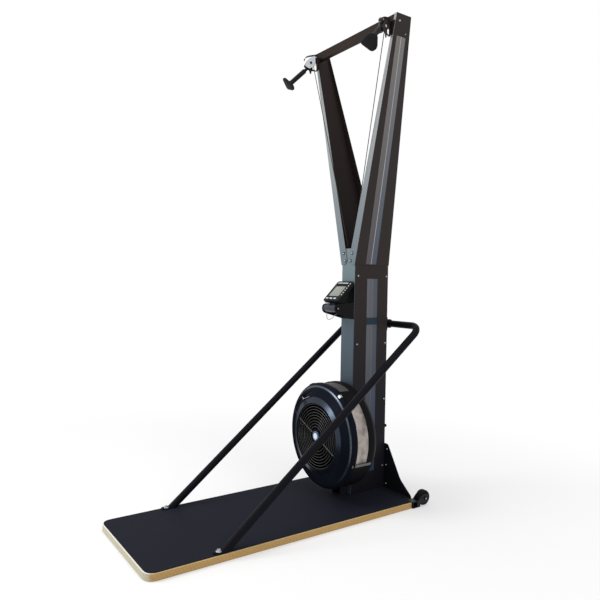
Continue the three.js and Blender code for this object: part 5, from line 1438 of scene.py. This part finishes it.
# %% Fan wheel and damper
dressed("impeller", "wheel_black", 0.0004, 1)
dressed("damper_ring", "moulded_black", 0.0005)
LEVER = [(0.1990, 124.0, -0.1722), (0.1940, 124.0, -0.1722), (0.1870, 123.9, -0.1721),
         (0.1825, 123.6, -0.1720)]
LEVER += [(0.1812 - 0.0004 * step, 122.8 - 3 * step, -0.1720) for step in range(6)]
bm = bmesh.new()
tube(bm, [fan_place(*stop) for stop in LEVER], 0.0012, 10)
damper_body = body_of(nodes["damper_ring"])[0]
closed_piece("damper_wire", bm, 60, "zinc", body=damper_body)
print("damper wire rides on", damper_body)

# %% [markdown]
# ## Brace bar
# One steel tube runs from a flat foot at the deck's edge, up and back, across behind the column and down to
# the other foot. Four straight tubes would show joints at the bends, so it is swept on one bent path and
# cut off level at the deck. Each foot is a stack of one soft outline.

# %% The bent path
BAR_RADIUS = 0.016
BAR_Y, FOOT_Y = COLUMN_BACK + SHEET + BAR_RADIUS, FRONT + 0.300
FOOT_Z, DECK, BELOW = 0.0313, 0.0316, 0.032
slant = (BAR_Z - FOOT_Z) / (BAR_Y - FOOT_Y)


def bent_path(corners, radius, steps):
    """Straight runs joined by round bends."""
    path = [corners[0]]
    for before, corner, after in zip(corners, corners[1:], corners[2:]):
        back, on = (before - corner).normalized(), (after - corner).normalized()
        half = back.angle(on) / 2
        centre = corner + (back + on).normalized() * radius / math.sin(half)
        reach = radius / math.tan(half)
        start, end = corner + back * reach - centre, corner + on * reach - centre
        sweep = start.angle(end)
        for step in range(steps + 1):
            turn = sweep * step / steps
            path.append(centre + (start * math.sin(sweep - turn) + end * math.sin(turn)) / math.sin(sweep))
    return path + [corners[-1]]


feet = [Vector((side * BAR_HALF, FOOT_Y - BELOW / slant, FOOT_Z - BELOW)) for side in (-1, 1)]
tops = [Vector((side * BAR_HALF, BAR_Y, BAR_Z)) for side in (-1, 1)]
bar_path = bent_path([feet[0], *tops, feet[1]], 0.058, 14)
print("brace slope", round(math.degrees(math.atan(slant)), 1), "degrees")

# %% Brace bar
bm = bmesh.new()
tube(bm, bar_path, BAR_RADIUS, 32)
whole = bm.verts[:] + bm.edges[:] + bm.faces[:]
bmesh.ops.bisect_plane(bm, geom=whole, plane_co=(0, 0, DECK), plane_no=(0, 0, 1), clear_inner=True)
bmesh.ops.holes_fill(bm, edges=[e for e in bm.edges if e.is_boundary])
TAB_HALF, far = 0.014, FOOT_Y + BAR_RADIUS
near = far - 0.062
for side in (-1, 1):
    left, right = side * BAR_HALF - TAB_HALF, side * BAR_HALF + TAB_HALF
    tab = soft_outline([(left, near, 0.013), (right, near, 0.013), (right, far, 0.004), (left, far, 0.004)])
    hub = Vector((side * BAR_HALF, (near + far) / 2))
    levels = ((DECK, 0.97), (DECK + 0.0006, 1.0), (DECK + 0.0044, 1.0), (DECK + 0.005, 0.96))
    stacked(bm, [[Vector((*(hub + (p - hub) * share), z)) for p in tab] for z, share in levels])
closed_piece("brace_tube", bm, 40, "bar_black", "brace_bar")
print("feet from", round(near, 4), "to", round(far, 4))

# %% [markdown]
# ## Monitor
# The window is a grey-green display behind a clear sheet, so one shiny coated finish with a faint grid of
# cells stands for both. A thin pale strip lies over the window. The monitor leans back, so its parts are
# written in its own upright frame and turned by one function.

# %% Display
TILT = Matrix.Rotation(math.radians(-45), 3, "X")


def monitor_point(x, y, z):
    """A place in the monitor's own frame: across, into the screen, up the screen."""
    return TILT @ Vector((x, y, z)) + Vector((0, HINGE_Y, HINGE_Z))


def inset_box(bm, low, high, edge=0.0008):
    """A flat block with softened edges, from two corners in the monitor's own frame."""
    verts = bmesh.ops.create_cube(bm, size=1)["verts"]
    for v in verts:
        v.co = Vector(low[i] + (v.co[i] + 0.5) * (high[i] - low[i]) for i in range(3))
    edges = {e for v in verts for e in v.link_edges}
    bevelled = bmesh.ops.bevel(bm, geom=list(edges), offset=edge, segments=3, affect="EDGES", profile=0.5)
    for v in {v for f in bevelled["faces"] for v in f.verts} | {v for v in verts if v.is_valid}:
        v.co = monitor_point(*v.co)


made = Finish("display", "screen", Specular_IOR_Level=0.5, Coat_Weight=0.6, Coat_Roughness=0.04)
bench = made.bench
where = bench.place()[0]
cells = bench.node("ShaderNodeTexChecker", None, {"Vector": where, "Scale": 900.0}, 1)
glow = bench.noise(where, 14, 2)
tone = bench.blend(glow, (0.13, 0.145, 0.115), (0.25, 0.265, 0.215))
made.feed(Base_Color=bench.blend(0.06 * cells, tone, (0.08, 0.09, 0.07)), Roughness=0.22 + 0.1 * glow)
made.bump(cells, 0.00001)

WINDOW = (-0.047, -0.0280, 0.050), (0.031, -0.0200, 0.116)
bm = bmesh.new()
inset_box(bm, *WINDOW)
closed_piece("display_panel", bm, 40, "display", "monitor_lens")
bm = bmesh.new()
inset_box(bm, (-0.046, -0.0306, 0.1303), (0.028, -0.0294, 0.1365), 0.0005)
closed_piece("bare_plate", bm, 40, "key_grey", body="monitor")
print("display", [round(1000 * (b - a)) for a, b in zip(*WINDOW)], "mm")

# %% [markdown]
# ## Barrel and its bolt
# The monitor hangs on a short barrel between two cheeks, and one bolt through it sets how stiffly it tilts.
# The barrel is turned, with a groove near each end, and a soft-edged block joins it to the case. A thin
# black sheet lies on the column's face behind the bracket.

# %% Barrel, bolt and pad
BARREL = [(0.0053, 0.044), (0.0155, 0.044), (0.0170, 0.0425), (0.0170, 0.030), (0.0164, 0.0294),
          (0.0164, 0.0286), (0.0170, 0.0280)]
BOLT = [(0, -0.0523), (0.0068, -0.0523), (0.0080, -0.0511), (0.0080, -0.0473), (0.005, -0.0473),
        (0.005, 0.0473), (0.0080, 0.0473), (0.0080, 0.0511), (0.0068, 0.0523), (0.0038, 0.0523),
        (0.0034, 0.0495), (0, 0.0495)]
bm = bmesh.new()
lathe(bm, rounded(mirrored(BARREL), 0.0005), (0, HINGE_Y, HINGE_Z), (1, 0, 0), 56)
inset_box(bm, (-0.018, -0.0122, 0.0100), (0.018, 0.007, 0.0257))
closed_piece("barrel", bm, 35, "barrel_gloss", "tilt_barrel")
bm = bmesh.new()
pad = ((-0.0470, 0.9225), (0.0470, 0.9225), (0.0470, 1.0100), (-0.0470, 1.0100))
stacked(bm, [[Vector((x, FACE - off, z)) for x, z in pad] for off in (0.0001, 0.0009)])
closed_piece("bracket_pad", bm, 30, "moulded_black", body="frame")
turned("barrel_bolt", BOLT, (0, HINGE_Y, HINGE_Z), (1, 0, 0), "tilt_eye", "tilt_bolt", sides=32, edge=0.0004)
print("barrel", widest(BARREL), "mm across")

# %% [markdown]
# ## Strip finishes
# Long strips run up the outside of the arms and the column, in two tones of grey with a thin pale line
# between them. They could be painted into the sides' finish, but a thin sheet has an edge of its own and
# its own map, so the tones follow each strip as it leans.

# %% Strip finishes
made = Finish("strip", None, Specular_IOR_Level=0.15)
bench = made.bench
u, v = bench.chart()
where, _, _, z = bench.place()
grain = bench.noise(where, 500, 2)
on_arm, up_column = z.above(1.07, 0.02), z.above(0.45, 0.40)
warm = bench.blend(v, (0.085, 0.078, 0.088), (0.155, 0.145, 0.138))
cool = bench.blend(v, (0.072, 0.086, 0.120), (0.160, 0.156, 0.158))
deep_warm = bench.blend(up_column, (0.030, 0.038, 0.062), (0.105, 0.110, 0.125))
deep_cool = bench.blend(up_column, (0.030, 0.050, 0.105), (0.070, 0.080, 0.100))
warm, cool = bench.blend(on_arm, deep_warm, warm), bench.blend(on_arm, deep_cool, cool)
split = u.above(0.53, 0.03) * on_arm + u.above(0.55, 0.45) * (1 - on_arm)
pale_line = u.between(0.49, 0.53, 0.012) * (0.15 + 0.85 * on_arm)
tones = bench.blend(pale_line, bench.blend(split, warm, cool), (0.45, 0.47, 0.50))
made.feed(Base_Color=tones, Roughness=0.38 + 0.1 * grain).bump(grain, 0.00002)

made = Finish("strip_band", None, Specular_IOR_Level=0.12)
bench = made.bench
grain = bench.noise(bench.place()[0], 300, 2)
blue = bench.blend(grain, (0.014, 0.026, 0.045), (0.022, 0.038, 0.062))
made.feed(Base_Color=blue, Roughness=0.36 + 0.1 * grain).bump(grain, 0.00002)
print("strip finishes", [n for n in FINISHES if n.startswith("strip")])

# %% [markdown]
# ## Side strips
# Each strip is a thin sheet with round corners, laid just off the metal so that the two faces don't fight.
# Its outline is drawn flat from its four corners and set on the leaning side, and its map is made with it.

# %% Side strips
STRIP_LIFT, STRIP_THICKNESS = 0.0002, 0.0005


def strip(name, corners, outwards, finish, reach):
    """A thin sheet with round corners over a flat side. Corners run round from its low front one."""
    bm = bmesh.new()
    layer = bm.loops.layers.uv.verify()
    low_front, low_rear, top_rear, top_front = (Vector(c) for c in corners)
    width, height = (low_rear - low_front).length, (top_front - low_front).length
    flat = soft_outline([(0, 0, reach), (width, 0, reach), (width, height, reach), (0, height, reach)], 5)
    rings, shares = [], {}
    for off in (STRIP_LIFT, STRIP_LIFT + STRIP_THICKNESS):
        rings.append([])
        for p in flat:
            u, v = p.x / width, p.y / height
            low, high = low_front.lerp(low_rear, u), top_front.lerp(top_rear, u)
            vert = bm.verts.new(low.lerp(high, v) + Vector(outwards) * off)
            rings[-1].append(vert)
            shares[vert] = (u, v)
    under, over = rings
    around = [(under[i - 1], under[i], over[i], over[i - 1]) for i in range(len(flat))]
    for face in (*around, under[::-1], over):
        for loop in bm.faces.new(face).loops:
            loop[layer].uv = shares[loop.vert]
    closed_piece(name, bm, 30, finish, body="frame")


for label, side in SIDES.items():
    low, high = 1.101, 2.064
    corners = [(side * arm_outer(low), FRONT + 1.118, low), (side * arm_outer(low), FRONT + 1.181, low),
               (side * arm_outer(high), FRONT + 1.123, high), (side * arm_outer(high), FRONT + 1.072, high)]
    strip(label + "_arm_strip", corners, (side * lean.x, 0, lean.z), "strip", 0.004)
    for part, low, high, finish in (("lower", 0.125, 0.8185, "strip"), ("band", 0.8200, 0.8500, "strip_band"),
                                    ("upper", 0.8515, 1.033, "strip")):
        corners = [(side * COLUMN_HALF, FRONT + back, z)
                   for back, z in ((1.130, low), (1.194, low), (1.194, high), (1.130, high))]
        strip(f"{label}_column_{part}", corners, (side, 0, 0), finish, 0.002)
print("strips", 4 * len(SIDES))

# %% [markdown]
# ## Floor
# The machine stands on a pale floor in front of plain white. A curved backdrop would need its own light to
# look white. Here the floor itself turns into plain white away from the machine, so that there is no seam,
# and the shadow stays under the machine.

# %% Floor
scene = bpy.context.scene
scene.view_settings.view_transform = "Standard"
FLOOR_REACH, NEAR_WHITE = 40, 0.4
corners = [(x * FLOOR_REACH, y * FLOOR_REACH, 0) for x, y in ((-1, -1), (1, -1), (1, 1), (-1, 1))]
floor_mesh = bpy.data.meshes.new("floor")
floor_mesh.from_pydata(corners, [], [(0, 1, 2, 3)])
floor = add_object("floor", floor_mesh)
paper = Finish("floor_paper", None, Roughness=0.9, Specular_IOR_Level=0.1)
bench = paper.bench
where, x, y, z = bench.place()
away = bench.distance(x, y + 0.1)
paper.feed(Base_Color=bench.blend(bench.noise(where, 60, 2), (0.90, 0.90, 0.90), (0.93, 0.93, 0.93)))
white = bench.node("ShaderNodeEmission", None, {"Color": (1, 1, 1, 1), "Strength": 1.0})
lit_paper = Wire(bench, paper.shader.outputs[0])
share = NEAR_WHITE + (1 - NEAR_WHITE) * away.above(1.6, 0.9)
joined = bench.node("ShaderNodeMixShader", None, {0: share, 1: lit_paper, 2: white})
tree = paper.material.node_tree
tree.links.new(joined.socket, tree.nodes["Material Output"].inputs["Surface"])
floor.data.materials.append(paper.material)
print("floor", 2 * FLOOR_REACH, "m")

# %% [markdown]
# ## World
# The world is the light from all round and also what shows behind the machine. One strength can't do both:
# at full white it would wash the black paint out. So it is white where the camera, metal or glass sees it,
# and dimmer as light.

# %% World
AS_LIGHT = 0.52
world = bpy.data.worlds.new("studio")
scene.world = world
world.use_nodes = True
bench = Bench(world.node_tree)
rays = bench.node("ShaderNodeLightPath", output="Is Camera Ray")
seen = rays.through("MAXIMUM", bench.more(rays, "Is Glossy Ray"))
seen = seen.through("MAXIMUM", bench.more(rays, "Is Transmission Ray"))
background = world.node_tree.nodes["Background"]
background.inputs["Color"].default_value = (1, 1, 1, 1)
strength = AS_LIGHT + (1 - AS_LIGHT) * seen
world.node_tree.links.new(strength.socket, background.inputs["Strength"])
print("world", AS_LIGHT, "as light, 1 to the eye")

# %% [markdown]
# ## Lamps
# Large soft boxes light it as in a studio: a key from the front left, a fill at the side, one from above,
# and a low narrow one for the shoulder of the cover. More lamps would flatten the form. They stay at a
# plain level, so that a colour renders about as it is written.

# %% Lamps
def lamp(name, place, target, size, watts):
    """A square soft box."""
    data = bpy.data.lights.new(name, "AREA")
    data.size = size
    data.energy = watts
    holder = bpy.data.objects.new(name, data)
    holder.location = place
    holder.rotation_euler = (Vector(target) - Vector(place)).to_track_quat("-Z", "Y").to_euler()
    scene.collection.objects.link(holder)


lamp("key", (-1.6, -3.4, 3.6), (0, 0.2, 1.1), 1.8, 95)
lamp("side", (3.6, 0.6, 2.6), (0, 0.2, 1.0), 1.6, 36)
lamp("top", (0.2, 0.0, 4.4), (0, 0.2, 0.5), 2.2, 45)
lamp("low strip", (-1.60, -2.82, 0.92), (0.1, 0.2, 0.45), 0.5, 16)
print("lamps", len(bpy.data.lights))
